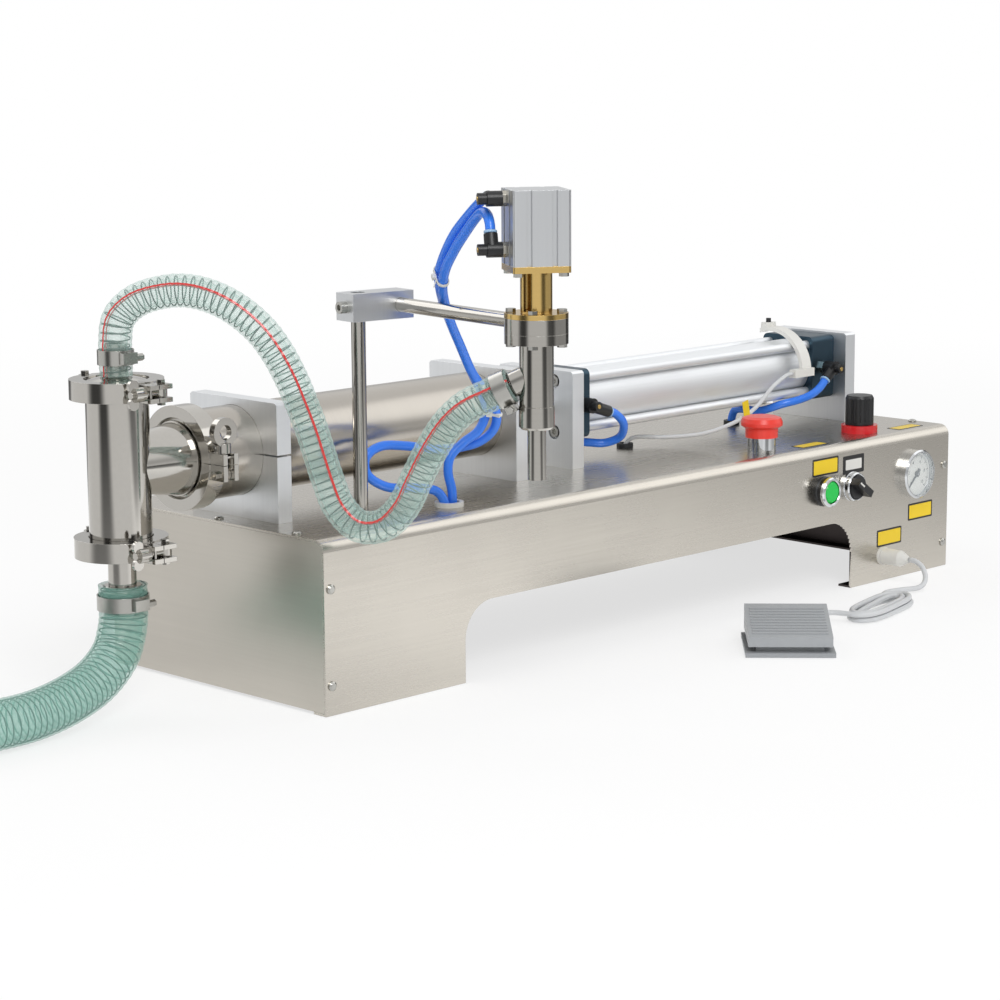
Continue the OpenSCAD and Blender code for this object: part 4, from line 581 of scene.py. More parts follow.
FINISHES = {
    "sheet_brushed_along": "base_wrap",
    "sheet_brushed_across": "end_plates",
    "zinc_bright": "panel_screws plate_screws valve_hose_clamps nozzle_screws nozzle_hose_clamp "
    "regulator_spindle",
    "plate_milled": "barrel_block barrel_end_plate cylinder_plates",
    "barrel_turned_satin": "barrel",
    "ptfe_white": "product_piston inlet_ball outlet_ball",
    "rubber_dark": "piston_seals",
    "chrome_hard": "piston_rod gauge_case",
    "block_satin": "air_piston cross_clamp nozzle_cylinder",
    "caps_slate": "air_caps",
    "tube_drawn_satin": "air_tube tie_rods",
    "pipework_polished": "valve_body valve_nipples clamp_halves clamp_bolts top_wing_nut "
    "bottom_wing_nut",
    "gasket_silicone": "valve_gaskets",
    "upright_polished": "barrel_eye_nut post nozzle_arm nozzle_body nozzle_tip nozzle_plunger",
    "brass_turned": "nozzle_coupling",
    "moulded_black": "estop_stem selector_knob regulator_knob gauge_needle",
    "stop_red": "estop_button",
    "gloss_green": "start_button",
    "switch_dark": "foot_base",
    "switch_grey": "foot_pedal",
    "moulded_white": "cable_plug",
}
# Places in millimetres, as in the CAD source, that tell the colours of a piece apart
BASE_HEIGHT = 144
BASE_FRONT = 138
BASE_END = 421.5
# FOLD, SHEET_SKIN and TRAY_SKIN mark the inside of the base sheet, which gets painted shade
FOLD = 10
SHEET_SKIN = 1.2
TRAY_SKIN = 1.5
CUT_EDGE = 0.1
ON_FACE = 0.05
CAP_FACE = -32
NOZZLE_AXIS = (-323.01, -279.33)
HEAD_HALF = 22.8
HEAD_ACROSS = (-0.8348, 0.5505)
NUT_HEIGHT = 4
DOT_HEIGHT = 23.1
WHITE_GROMMET = (-243, -98)
GROMMET_REACH = 20
SENSOR_SCREW = 3.9
PLUG_PLACE = (314, 25)
PLUG_REACH = 12
START_PLACE = (218, 102)
START_REACH = 16


class FILLER_OT_finishes(bpy.types.Operator):
    """Give every CAD piece its finish"""

    bl_idname = "filler.finishes"
    bl_label = "Finishes"

    def execute(self, context):
        want = context.scene.filler_finishes
        made = {**metals(want), **plastics(want)}
        for finish, names in FINISHES.items():
            for name in names.split():
                dress(NODES[name], [made[finish]])

        def fitting(depth):
            if depth < NUT_HEIGHT + ON_FACE:
                return 1
            return 2 if depth > DOT_HEIGHT else 0

        def head_depth(c):
            x, y = c.x - NOZZLE_AXIS[0], c.y - NOZZLE_AXIS[1]
            return x * HEAD_ACROSS[0] + y * HEAD_ACROSS[1] - HEAD_HALF

        # Faces inside the wrapped sheet get the painted shade of its inside
        def under_sheet(c):
            if abs(c.x) > BASE_END - CUT_EDGE:
                return 0
            ahead, up = abs(c.y) - BASE_FRONT + FOLD, c.z - BASE_HEIGHT + FOLD
            if ahead > 0 and up > 0:
                return int(math.hypot(ahead, up) < FOLD - SHEET_SKIN)
            return int(up < FOLD - SHEET_SKIN and ahead < FOLD - SHEET_SKIN)

        def panel_colour(c):
            if math.dist((c.x, c.z), PLUG_PLACE) < PLUG_REACH:
                return 1
            return 2 if math.dist((c.x, c.z), START_PLACE) < START_REACH else 0

        top = max(v.co.z for v in NODES["sensor_ring"].data.vertices) * 1000
        three = ("moulded_black", "nickel", "brass_turned")
        pair = ("moulded_white", "rubber_dark")
        for name, finishes, rule in (
            ("cylinder_throttles", three, lambda c: fitting(CAP_FACE - c.y)),
            ("nozzle_throttles", three, lambda c: fitting(head_depth(c))),
            ("sensor_ring", pair, lambda c: int(c.z > top - SENSOR_SCREW)),
            (
                "deck_grommets",
                pair,
                lambda c: int(math.dist(c.xy, WHITE_GROMMET) > GROMMET_REACH),
            ),
            ("panel_fittings", ("chrome_hard", "moulded_white", "moulded_black"), panel_colour),
            (
                "regulator_body",
                ("gloss_red", "bowl_grey"),
                lambda c: int(c.z < BASE_HEIGHT + ON_FACE),
            ),
            # The inside of the wrapped sheet gets painted shade
            ("base_wrap", ("sheet_brushed_along", "sheet_inside"), under_sheet),
            # The inner faces of the end plates get painted shade
            (
                "end_plates",
                ("sheet_brushed_across", "sheet_inside"),
                lambda c: int(abs(c.x) < BASE_END - TRAY_SKIN),
            ),
        ):
            dress(NODES[name], [made[key] for key in finishes], rule)
        return {"FINISHED"}


PANEL_Y = -138
# Places on the panel and the deck in millimetres, and sizes of the small parts in metres
SELECTOR_LABEL = (265.4, 122.7)
LABEL_RIM = 0.0018
STOP_LABEL = (224, -117)
REG_LABEL = (379, -115)
GAUGE_CENTRE = (365, 101)
DIAL_Y = -140.5
LENS_Y = -144.6
DIAL_RADIUS = 0.0215
DIAL_START = math.radians(225)
DIAL_SWEEP = math.radians(-270)
MAIN_MARKS = 11
FINE_MARKS = 51
MARK_LIFT = 0.00015
NUMBER_LIFT = 0.00016
NUMBER_RADIUS = 0.0128
NUMBER_SIZE = 0.0048
NUMBER_DEPTH = 0.00004


def rounded_outline(width, height, corner, steps=6):
    """Points of a rectangle with round corners about the origin, anticlockwise."""
    out = []
    for k, (sx, sy) in enumerate(((1, 1), (-1, 1), (-1, -1), (1, -1))):
        cx, cy = sx * (width / 2 - corner), sy * (height / 2 - corner)
        for i in range(steps + 1):
            a = math.pi / 2 * (k + i / steps)
            out.append((cx + corner * math.cos(a), cy + corner * math.sin(a)))
    return out


def slab(name, outline, thickness, place, material, edge=0.00008):
    """A flat closed plate of an outline, its rim softened, standing on the place's XY plane."""
    inset = 1 - edge / max(abs(v) for p in outline for v in p)
    levels = ((1.0, 0.0), (1.0, thickness - edge), (inset, thickness))
    rings = [[Vector((x * k, y * k, z)) for x, y in outline] for k, z in levels]
    return placed(skinned(name, rings), place, material)


def on_panel(x, z, y=PANEL_Y, turn=0.0):
    """A place on the front panel, in millimetres: X stays across and Z points out of it."""
    return (
        Matrix.Translation(vector((x, y, z)))
        @ Matrix.Rotation(math.pi / 2, 4, "X")
        @ Matrix.Rotation(turn, 4, "Z")
    )


def printed_card(name, size, place, border, face, rim):
    """A printed plate: a dark border under a slightly smaller coloured face."""
    width, height = size[0] * MM, size[1] * MM
    for part, inset, corner, thickness, material in (
        ("_border", 0.0, 0.0014, 0.00022, border),
        ("_face", 2 * rim, 0.0008, 0.0003, face),
    ):
        outline = rounded_outline(width - inset, height - inset, corner)
        obj = slab(name + part, outline, thickness, place, material)
        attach(obj, "root")


class FILLER_OT_labels(bpy.types.Operator):
    """Make the bare yellow labels of the panel and the deck"""

    bl_idname = "filler.labels"
    bl_label = "Labels"

    def execute(self, context):
        yellow = plain_plastic("label_yellow", linear("#f6d20e"), 0.35, 0.01)
        black = plain_plastic("label_black", linear("#1b1b1c"), 0.4, 0.01)
        white = plain_plastic("label_white", linear("#e4e3de"), 0.4, 0.01)
        for name, centre in (
            ("start_label", (221.6, 125.6)),
            ("gauge_label", (375.7, 62.5)),
            ("foot_label", (325, 42.6)),
        ):
            printed_card(name, (40, 17), on_panel(*centre), black, yellow, LABEL_RIM)
        plate = on_panel(*SELECTOR_LABEL)
        printed_card("selector_label", (33, 18), plate, black, black, 0.0006)
        outline = rounded_outline(0.025, 0.010, 0.0008)
        window = slab("selector_window", outline, 0.0004, plate, white)
        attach(window, "root")
        for name, centre in (("stop_label", STOP_LABEL), ("regulator_label", REG_LABEL)):
            place = Matrix.Translation(vector((*centre, BASE_HEIGHT)))
            printed_card(name, (40, 16), place, black, yellow, LABEL_RIM)
        return {"FINISHED"}


def geometry_tree(name, sockets):
    """An empty Geometry Nodes tree with a geometry and these sockets, and what they give."""
    tree = bpy.data.node_groups.new(name, "GeometryNodeTree")
    face = tree.interface
    for label, kind in {"Geometry": "Geometry", **sockets, "Material": "Material"}.items():
        face.new_socket(label, in_out="INPUT", socket_type="NodeSocket" + kind)
    face.new_socket("Geometry", in_out="OUTPUT", socket_type="NodeSocketGeometry")
    return tree, node(tree, "NodeGroupInput").outputs


def give_mesh(tree, geometry, material):
    """Ends a Geometry Nodes tree with its real mesh in a material."""
    real = result(tree, "GeometryNodeRealizeInstances", {0: geometry})
    dressed = {"Geometry": real, "Material": material}
    node(tree, "NodeGroupOutput", {0: result(tree, "GeometryNodeSetMaterial", dressed)})
    return tree


def evaluated_mesh(source):
    """The mesh that an object gives, which then goes away."""
    graph = bpy.context.evaluated_depsgraph_get()
    mesh = bpy.data.meshes.new_from_object(source.evaluated_get(graph), depsgraph=graph)
    bpy.data.objects.remove(source)
    return mesh


def made_by_nodes(name, source, tree, values, flat=False):
    """Runs a Geometry Nodes tree on an object and keeps the result as a plain mesh object."""
    modifier = source.modifiers.new("nodes", "NODES")
    modifier.node_group = tree
    sockets = {
        item.name: item.identifier
        for item in tree.interface.items_tree
        if item.item_type == "SOCKET" and item.in_out == "INPUT"
    }
    for key, value in values.items():
        modifier[sockets[key]] = value
    bpy.context.view_layer.update()
    mesh = evaluated_mesh(source)
    mesh.name = name
    if not mesh.polygons:
        raise RuntimeError(f"{name} came out empty")
    for poly in mesh.polygons:
        poly.use_smooth = not flat
    return new_object(name, mesh)


def tick_tree():
    """Geometry Nodes: lays marks at even steps round an arc."""
    floats = dict.fromkeys(("Radius", "Start", "Sweep"), "Float")
    tree, given = geometry_tree("lay_marks", {"Count": "Int", **floats, "Mark": "Vector"})
    arc = {
        "Resolution": given["Count"],
        "Radius": given["Radius"],
        "Start Angle": given["Start"],
        "Sweep Angle": given["Sweep"],
    }
    curve = result(tree, "GeometryNodeCurveArc", arc, mode="RADIUS")
    spots = node(tree, "GeometryNodeCurveToPoints", {"Curve": curve}, mode="EVALUATED").outputs
    laid = {
        "Points": spots["Points"],
        "Instance": result(tree, "GeometryNodeMeshCube", {"Size": given["Mark"]}),
        "Rotation": spots["Rotation"],
    }
    return give_mesh(
        tree, result(tree, "GeometryNodeInstanceOnPoints", laid), given["Material"]
    )


def glass_material():
    """Clear glass of the gauge: thin and smooth, denser towards a glancing look."""
    material, tree, place = new_material("gauge_glass")
    edge = result(tree, "ShaderNodeLayerWeight", {"Blend": 0.3}, "Facing")
    skin = {
        "Base Color": linear("#e9f2f6"),
        "Roughness": remap(tree, noise(tree, place, 50.0), 0.01, 0.04),
        "IOR": GLASS_IOR,
        "Alpha": remap(tree, edge, 0.06, 0.45),
    }
    return principled(material, skin)


class FILLER_OT_gauge(bpy.types.Operator):
    """Make the gauge's dial, marks, numbers and glass"""

    bl_idname = "filler.gauge"
    bl_label = "Gauge"

    def execute(self, context):
        ivory = plain_plastic("dial_white", linear("#eceae4"), 0.45, 0.01)
        ink = plain_plastic("dial_ink", linear("#161617"), 0.5, 0.01)
        seat = on_panel(*GAUGE_CENTRE, DIAL_Y)
        circle = [(DIAL_RADIUS * math.cos(a), DIAL_RADIUS * math.sin(a)) for a in turns(64)]
        dial = slab("gauge_dial", circle, 0.00012, seat, ivory, 0.00004)
        tree = tick_tree()
        parts = [dial]
        for name, count, radius, mark in (
            ("gauge_marks", MAIN_MARKS, 0.0178, (0.0034, 0.0001, 0.0007)),
            ("gauge_fine_marks", FINE_MARKS, 0.0186, (0.0018, 0.0001, 0.0003)),
        ):
            source = new_object(name + "_seed", bpy.data.meshes.new(name + "_seed"))
            values = {
                "Count": count,
                "Radius": radius,
                "Start": DIAL_START,
                "Sweep": DIAL_SWEEP,
                "Mark": mark,
                "Material": ink,
            }
            marks = made_by_nodes(name, source, tree, values, flat=True)
            marks.data.transform(seat @ Matrix.Translation((0, 0, MARK_LIFT)))
            parts.append(marks)
        for i in range(0, MAIN_MARKS, 2):
            a = DIAL_START + DIAL_SWEEP * i / (MAIN_MARKS - 1)
            letters = bpy.data.curves.new(f"gauge_number_{i}", "FONT")
            letters.body = str(i)
            letters.size = NUMBER_SIZE
            letters.extrude = NUMBER_DEPTH
            letters.align_x, letters.align_y = "CENTER", "CENTER"
            mesh = evaluated_mesh(new_object(f"gauge_number_{i}_line", letters))
            at = Vector((NUMBER_RADIUS * math.cos(a), NUMBER_RADIUS * math.sin(a), NUMBER_LIFT))
            mesh.transform(seat @ Matrix.Translation(at))
            parts.append(new_object(f"gauge_number_{i}", put_mesh(mesh, ink)))
        front = on_panel(*GAUGE_CENTRE, LENS_Y)
        lens = slab("gauge_glass", circle, 0.0009, front, glass_material())
        for obj in [*parts, lens]:
            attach(obj, "root")
        return {"FINISHED"}


SELECTOR_PLACE = (261.5, 101.5)
SELECTOR_TOP = 19
SELECTOR_TURN = math.radians(-35)
# Rings of the push button and the selector, as pairs of radius and height over the panel
RIMS = [
    (
        "start_collar", START_PLACE, "moulded_black",
        [(10.9, 3.6), (13.4, 3.6), (13.4, 8), (10.9, 8)],
    ),
    (
        "start_rim", START_PLACE, "chrome_hard",
        [
            (10.9, 7.9), (14.2, 7.9), (14.6, 8.4), (14.4, 10.8), (13.2, 12.1), (11.6, 12.4),
            (10.9, 11.6),
        ],
    ),
    (
        "selector_rim", SELECTOR_PLACE, "chrome_hard",
        [(11.9, 3.6), (14.2, 3.6), (14.6, 4.4), (14.2, 7.4), (13, 8.6), (11.9, 8.2)],
    ),
]


def lathe(name, profile, place, material, steps=56):
    """A ring turned from a closed profile of (radius, height) pairs, in millimetres."""
    rings = [
        [vector((r * math.cos(a), r * math.sin(a), z)) for r, z in profile] for a in turns(steps)
    ]
    return placed(skinned(name, rings, loop=True), place, material)


class FILLER_OT_small_parts(bpy.types.Operator):
    """Make the rims of the push button and the selector, and its white line"""

    bl_idname = "filler.small_parts"
    bl_label = "Small parts"

    def execute(self, context):
        for name, centre, finish, profile in RIMS:
            rim = lathe(name, profile, on_panel(*centre), bpy.data.materials[finish])
            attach(rim, "root")
        knob = on_panel(*SELECTOR_PLACE, PANEL_Y - SELECTOR_TOP, SELECTOR_TURN)
        line = slab(
            "selector_line",
            rounded_outline(0.0075, 0.0016, 0.0003),
            0.0003,
            knob @ Matrix.Translation((-0.0070, 0, 0)),
            bpy.data.materials["label_white"],
        )
        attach(line, "selector")
        return {"FINISHED"}


# Points that a route gets between its own
SMOOTHING = 12
WIRE_RADIUS = 0.0006
WIRE_SIDES = 5
POINTS_PER_TURN = 20
HOSE_SIDES = 40
RING_BULGE = 0.0004
HOSE_EDGE = 0.62
STRIPE_AT = 0.515
STRIPE_HALF_SHARE = 0.010


def hose_material(name, colour, body, stripe=None):
    """Clear PVC: light passes through, and the wall looks denser towards its edges.

    body is how dense it looks in the middle; a stripe runs along it."""
    material, tree, place = new_material(name)
    tint = mixed(tree, noise(tree, place, 60.0, 3.0), deeper(colour, HOSE_DEEP), colour)
    edge = result(tree, "ShaderNodeLayerWeight", {"Blend": 0.35}, "Facing")
    alpha = remap(tree, edge, body, HOSE_EDGE)
    if stripe is not None:
        uv = result(tree, "ShaderNodeUVMap", uv_map="along")
        turn = result(tree, "ShaderNodeSeparateXYZ", {0: uv}, "X")
        near = calc(tree, "COMPARE", turn, STRIPE_AT, STRIPE_HALF_SHARE)
        tint = mixed(tree, near, tint, stripe)
        alpha = calc(tree, "MAXIMUM", alpha, near)
    skin = {"Base Color": tint, "Roughness": 0.14, "IOR": HOSE_IOR, "Alpha": alpha}
    return principled(material, skin)


def wire_material():
    """Galvanised spring wire, a little dull."""
    material, tree, place = new_material("spring_wire")
    skin = {
        "Base Color": linear("#5d6a67"),
        "Metallic": 0.6,
        "Roughness": remap(tree, noise(tree, place, 300.0), 0.3, 0.5),
    }
    return principled(material, skin)


def coil_tree():
    """Geometry Nodes: winds a wire round the curve it is given."""
    floats = dict.fromkeys(("Coil Radius", "Wire Radius", "Turns"), "Float")
    tree, given = geometry_tree("wind_wire", {**floats, "Points": "Int"})
    fine = {"Curve": given["Geometry"], "Count": given["Points"]}
    line = {"Curve": result(tree, "GeometryNodeResampleCurve", fine)}
    along = result(tree, "GeometryNodeSplineParameter", socket="Factor")
    wound = calc(tree, "MULTIPLY", along, given["Turns"])
    spin = {
        "Vector": result(tree, "GeometryNodeInputNormal"),
        "Axis": result(tree, "GeometryNodeInputTangent"),
        "Angle": calc(tree, "MULTIPLY", wound, 2 * math.pi),
    }
    spoke = {0: result(tree, "ShaderNodeVectorRotate", spin), "Scale": given["Coil Radius"]}
    helix = {
        "Geometry": result(tree, "GeometryNodeSetCurveNormal", line, mode="MINIMUM_TWIST"),
        "Offset": result(tree, "ShaderNodeVectorMath", spoke, operation="SCALE"),
    }
    ring = {"Resolution": WIRE_SIDES, "Radius": given["Wire Radius"]}
    wire = {
        "Curve": result(tree, "GeometryNodeSetPosition", helix),
        "Profile Curve": result(tree, "GeometryNodeCurvePrimitiveCircle", ring),
        "Fill Caps": True,
    }
    return give_mesh(tree, result(tree, "GeometryNodeCurveToMesh", wire), given["Material"])


def wound_wire(name, line, coil_radius, wire_radius, pitch, material):
    """A wire helix along a line, made by the Geometry Nodes tree and then a plain mesh."""
    curve = bpy.data.curves.new(name, "CURVE")
    curve.dimensions = "3D"
    spline = curve.splines.new("POLY")
    spline.points.add(len(line) - 1)
    for point, place in zip(spline.points, line):
        point.co = (*place, 1)
    source = new_object(name + "_line", curve)
    tree = bpy.data.node_groups.get("wind_wire") or coil_tree()
    count = runs(line)[-1] / pitch
    values = {
        "Coil Radius": coil_radius,
        "Wire Radius": wire_radius,
        "Turns": count,
        "Points": int(count * POINTS_PER_TURN),
        "Material": material,
    }
    return made_by_nodes(name, source, tree, values)


def dressed_hose(name, route, diameter, bore, material, wire):
    """A hose wall that swells a little over each turn of its wire, its line, and the wire."""
    pitch = bpy.context.scene.filler_hoses.wire_pitch
    line = even(smooth([vector(p) for p in route], SMOOTHING), pitch / 4)

    def outer(s):
        return diameter / 2 - RING_BULGE * (0.5 - 0.5 * math.cos(2 * math.pi * s / pitch))

    wall = tube_mesh(name + "_clear", line, outer, bore / 2, HOSE_SIDES)
    hose = new_object(name + "_clear", put_mesh(wall, material))
    middle = (diameter + bore) / 4
    return hose, line, wound_wire(name + "_wire", line, middle, WIRE_RADIUS, pitch, wire)


class FILLER_OT_hoses(bpy.types.Operator):
    """Make the two wire-wound hoses"""

    bl_idname = "filler.hoses"
    bl_label = "Hoses"

    def execute(self, context):
        want = context.scene.filler_hoses
        green = hose_material("clear_pvc_green", want.suction_colour, 0.28)
        striped = hose_material(
            "clear_pvc_striped", want.outlet_colour, 0.17, want.stripe_colour
        )
        wire = wire_material()
        suction, line, coil = dressed_hose(
            "suction_hose", SUCTION_ROUTE, want.suction_diameter, want.suction_bore, green, wire
        )
        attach(suction, "root")
        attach(coil, "root")
        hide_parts("suction_hose")
        outlet, line, coil = dressed_hose(
            "outlet_hose", OUTLET_ROUTE, want.outlet_diameter, want.outlet_bore, striped, wire
        )
        for piece in (outlet, coil):
            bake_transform(piece)
        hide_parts("outlet_hose")
        return {"FINISHED"}


TIE_BORE = 0.0042
TIE_WIDTH = 0.0026
TIE_THICKNESS = 0.001
TIE_SIDES = 28
TIE_PLACES = [(-308, -156, 349), (-207, -107, 222)]
COLLAR_RADIUS = 0.0052
COLLAR_LENGTH = 0.0022
COLLAR_LIP = 0.0004
COLLAR_GAP = 0.0001
COLLAR_SIDES = 32


def clip_band(name, first, second, near, material):
    """A cable tie: a band drawn tight round two tubes near a place, with its small head."""
    a = min(range(len(first)), key=lambda i: (first[i] - near).length)
    b = min(range(len(second)), key=lambda i: (second[i] - first[a]).length)
    along = (first[min(a + 1, len(first) - 1)] - first[a - 1]).normalized()
    across = second[b] - first[a]
    across = across - along * across.dot(along)
    half = across.length / 2
    across.normalize()
    side = along.cross(across)
    middle = (first[a] + second[b]) / 2
    edge, wide = TIE_WIDTH / 2, TIE_BORE + TIE_THICKNESS
    rings = []
    for z, radius in ((-edge, TIE_BORE), (-edge, wide), (edge, wide), (edge, TIE_BORE)):
        ring = []
        for t in turns(TIE_SIDES):
            u = radius * math.cos(t) + (half if math.cos(t) > 0 else -half)
            ring.append(middle + along * z + across * u + side * radius * math.sin(t))
        rings.append(ring)
    band = new_object(name, put_mesh(skinned(name, rings, True, True), material))
    turn = Matrix((across, along, side)).transposed().to_4x4()
    foot = Matrix.Translation(middle + side * (TIE_BORE + TIE_THICKNESS * 0.6)) @ turn
    outline = rounded_outline(0.0046, 0.0040, 0.0006)
    head = slab(name + "_head", outline, 0.0030, foot, material)
    outline = rounded_outline(0.009, 0.0022, 0.0005)
    bent = foot @ Matrix.Translation((0.006, 0, 0.0012)) @ Matrix.Rotation(-0.5, 4, "Y")
    tail = slab(name + "_tail", outline, 0.0009, bent, material)
    return [band, head, tail]


def collar(name, line, radius, material):
    """A push-in collar round the start of an air tube."""
    short = [
        line[0] + (line[2] - line[0]).normalized() * (COLLAR_LENGTH * t)
        for t in (0.0, 0.15, 0.85, 1.0)
    ]
    low = COLLAR_RADIUS - COLLAR_LIP
    heights = iter((low, COLLAR_RADIUS, COLLAR_RADIUS, low))
    mesh = tube_mesh(name, short, lambda s: next(heights), radius + COLLAR_GAP, COLLAR_SIDES)
    return new_object(name, put_mesh(mesh, material))


TUBE_SIDES = 20
TUBE_STEP = 0.003


def air_tube(name, route, diameter, material):
    """A plain round tube or cable along a route, and its line."""
    line = even(smooth([vector(p) for p in route], SMOOTHING), TUBE_STEP)
    mesh = tube_mesh(name, line, lambda s: diameter / 2, 0, TUBE_SIDES)
    return new_object(name, put_mesh(mesh, material)), line


class FILLER_OT_air_tubes(bpy.types.Operator):
    """Make the blue air tubes"""

    bl_idname = "filler.air_tubes"
    bl_label = "Air tubes"

    def execute(self, context):
        want = context.scene.filler_hoses
        blue = plain_plastic("polyurethane_blue", want.tube_colour, 0.22, bump=0.02)
        rows = [
            ("nozzle_tube_upper", NOZZLE_TUBE_A, "nozzle_air_tubes", True),
            ("nozzle_tube_lower", NOZZLE_TUBE_B, "nozzle_air_tubes", True),
            ("cylinder_tube_front", FRONT_TUBE, "cylinder_air_tubes", False),
            ("cylinder_tube_rear", REAR_TUBE, "cylinder_air_tubes", False),
        ]
        release = plain_plastic("collar_light_blue", want.collar_colour, 0.35, bump=0.01)
        lines = []
        for name, route, stood_for, moving in rows:
            tube, line = air_tube(name, route, want.air_tube_diameter, blue)
            lines.append(line)
            cap = collar(name + "_collar", line, want.air_tube_diameter / 2, release)
            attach(cap, "carriage" if moving else "root")
            if moving:
                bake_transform(tube)
            else:
                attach(tube, "root")
            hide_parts(stood_for)
        nylon = plain_plastic("nylon_tie", linear("#e9e8e2"), 0.4, bump=0.01)
        for i, place in enumerate(TIE_PLACES):
            for piece in clip_band(f"tube_tie_{i}", *lines[:2], vector(place), nylon):
                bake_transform(piece)
        return {"FINISHED"}


def hank_line():
    """The hank's own line, as in the CAD source, in metres."""
    turned = Matrix.Rotation(math.radians(HANK_TURN), 3, "Z")
    count = math.ceil(HANK_TURNS * HANK_POINTS)
    line = []
    for i in range(count + 1):
        u = HANK_TURNS * i / count
        v = u if u < HANK_TURNS / 2 else HANK_TURNS - u
        t = -2 * math.pi * u
        x = (HANK_HALF_LENGTH - HANK_STEP * v) * math.cos(t)
        waist = 1 - HANK_WAIST * math.sin(t) ** 2
        y = (HANK_HALF_WIDTH - HANK_STEP * v) * math.sin(t) * waist
        climb = HANK_LAYER * min(max((u - HANK_TURNS / 2 + 0.25) / 0.5, 0), 1)
        place = turned @ Vector((x, y, HANK_LOW + climb))
        line.append(vector(place + Vector((*HANK_CENTRE, 0))))
    return line


TAG_PLACE = on_panel(208, 173, -50.2, math.radians(12))


class FILLER_OT_cables(bpy.types.Operator):
    """Make the sensor cable and the foot switch cable with its hank"""

    bl_idname = "filler.cables"
    bl_label = "Cables"

    def execute(self, context):
        want = context.scene.filler_hoses
        sheath = plain_plastic("pvc_sheath_grey", linear("#d6d8da"), 0.4)
        reed, line = air_tube("sensor_cable", REED_ROUTE, want.reed_diameter, sheath)
        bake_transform(reed)
        outline, yellow = rounded_outline(0.009, 0.019, 0.0006), bpy.data.materials["label_yellow"]
        tag = slab("sensor_cable_tag", outline, 0.0004, TAG_PLACE, yellow)
        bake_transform(tag)
        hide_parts("reed_cable")
        first, last = (
            smooth([vector(p) for p in route], SMOOTHING)
            for route in (CABLE_FROM_PLUG, CABLE_TO_SWITCH)
        )
        line = even(first[:-1] + hank_line() + last[1:], TUBE_STEP)
        mesh = tube_mesh("foot_cable_grey", line, lambda s: want.cable_diameter / 2, 0, 16)
        cable = new_object("foot_cable_grey", put_mesh(mesh, sheath))
        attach(cable, "root")
        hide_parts("foot_cable", "foot_hank")
        return {"FINISHED"}


FLOOR_DROP = -0.0004
FLOOR_REACH = 6.0
FLOOR_CORNERS = [(-1, -1), (1, -1), (1, 1), (-1, 1)]
# Each lamp's share of the key light's power, its size and its place, in metres
LAMPS = [
    ("key_light", 1.0, 1.6, (-1.6, -2.6, 2.6)),
    ("fill_light", 0.2, 2.4, (2.4, -1.2, 1.8)),
    ("back_light", 0.35, 2.2, (-0.6, 2.6, 2.2)),
]
LAMP_AIM = Vector((0, 0, 0.15))
# How much of its own light the floor shows near the machine and far off, which hides shadow
SHADOW_SHARE = 0.7
SHADOW_NEAR = 0.7
SHADOW_FAR = 2.4
# The band that metal shows at eye height
BAND_HEIGHT = 0.16
BAND_HALF = 0.3
BAND_LEVEL = 0.6
# The dark gaps between the studio's walls: their count, heading, level and reach
PANELS = 4
PANEL_HEADING = math.radians(-43.4)
PANEL_LEVEL = 0.08
GAP_DARK, GAP_PALE = -0.95, -0.1
GAPS_NEAR, GAPS_FAR = 0.6, 1.1
GAPS_LOW, GAPS_HIGH = 0.25, 0.7
# The floor looks brighter in metal to the left of the machine than to its right
SLOPE = {"low": 1.6, "high": 0.45, "start": 0.0, "end": 0.9}
LEFT_SLOPE = {"low": 0.56, "high": 1.0, "start": -0.5, "end": -0.1}


class FILLER_OT_stage(bpy.types.Operator):
    """Make the pale floor, the soft lights and the white surround"""

    bl_idname = "filler.stage"
    bl_label = "Studio"

    def execute(self, context):
        want = context.scene.filler_studio
        corners = [(x * FLOOR_REACH, y * FLOOR_REACH, 0) for x, y in FLOOR_CORNERS]
        mesh = mesh_of("studio_floor", corners, [(0, 1, 2, 3)])
        mesh.transform(Matrix.Translation((0, 0, FLOOR_DROP)))
        floor = new_object("studio_floor", put_mesh(mesh, floor_material(want.floor)))
        for name, share, size, place in LAMPS:
            lamp = bpy.data.lights.new(name, "AREA")
            lamp.energy = want.key * share
            lamp.size = size
            obj = new_object(name, lamp)
            obj.location = place
            obj.rotation_mode = "QUATERNION"
            obj.rotation_quaternion = (LAMP_AIM - Vector(place)).to_track_quat("-Z", "Y")
        surround(want.surround)
        context.scene.view_settings.view_transform = "Standard"
        return {"FINISHED"}


def seen_directly(tree):
    """1 for the camera, for mirror reflections and for light through glass, and 0 otherwise."""
    path = node(tree, "ShaderNodeLightPath").outputs
    first = calc(tree, "MAXIMUM", path["Is Camera Ray"], path["Is Glossy Ray"])
    return calc(tree, "MAXIMUM", first, path["Is Transmission Ray"])


def panel_level(tree, parts):
    """How bright the studio looks in metal by heading: pale walls with soft dark gaps."""
    heading = calc(tree, "ARCTAN2", parts["Y"], parts["X"])
    wave = calc(tree, "MULTIPLY_ADD", heading, PANELS, -PANELS * PANEL_HEADING)
    level = calc(tree, "COSINE", wave)
    return remap(tree, level, PANEL_LEVEL, 1.0, GAP_DARK, GAP_PALE, "SMOOTHSTEP")


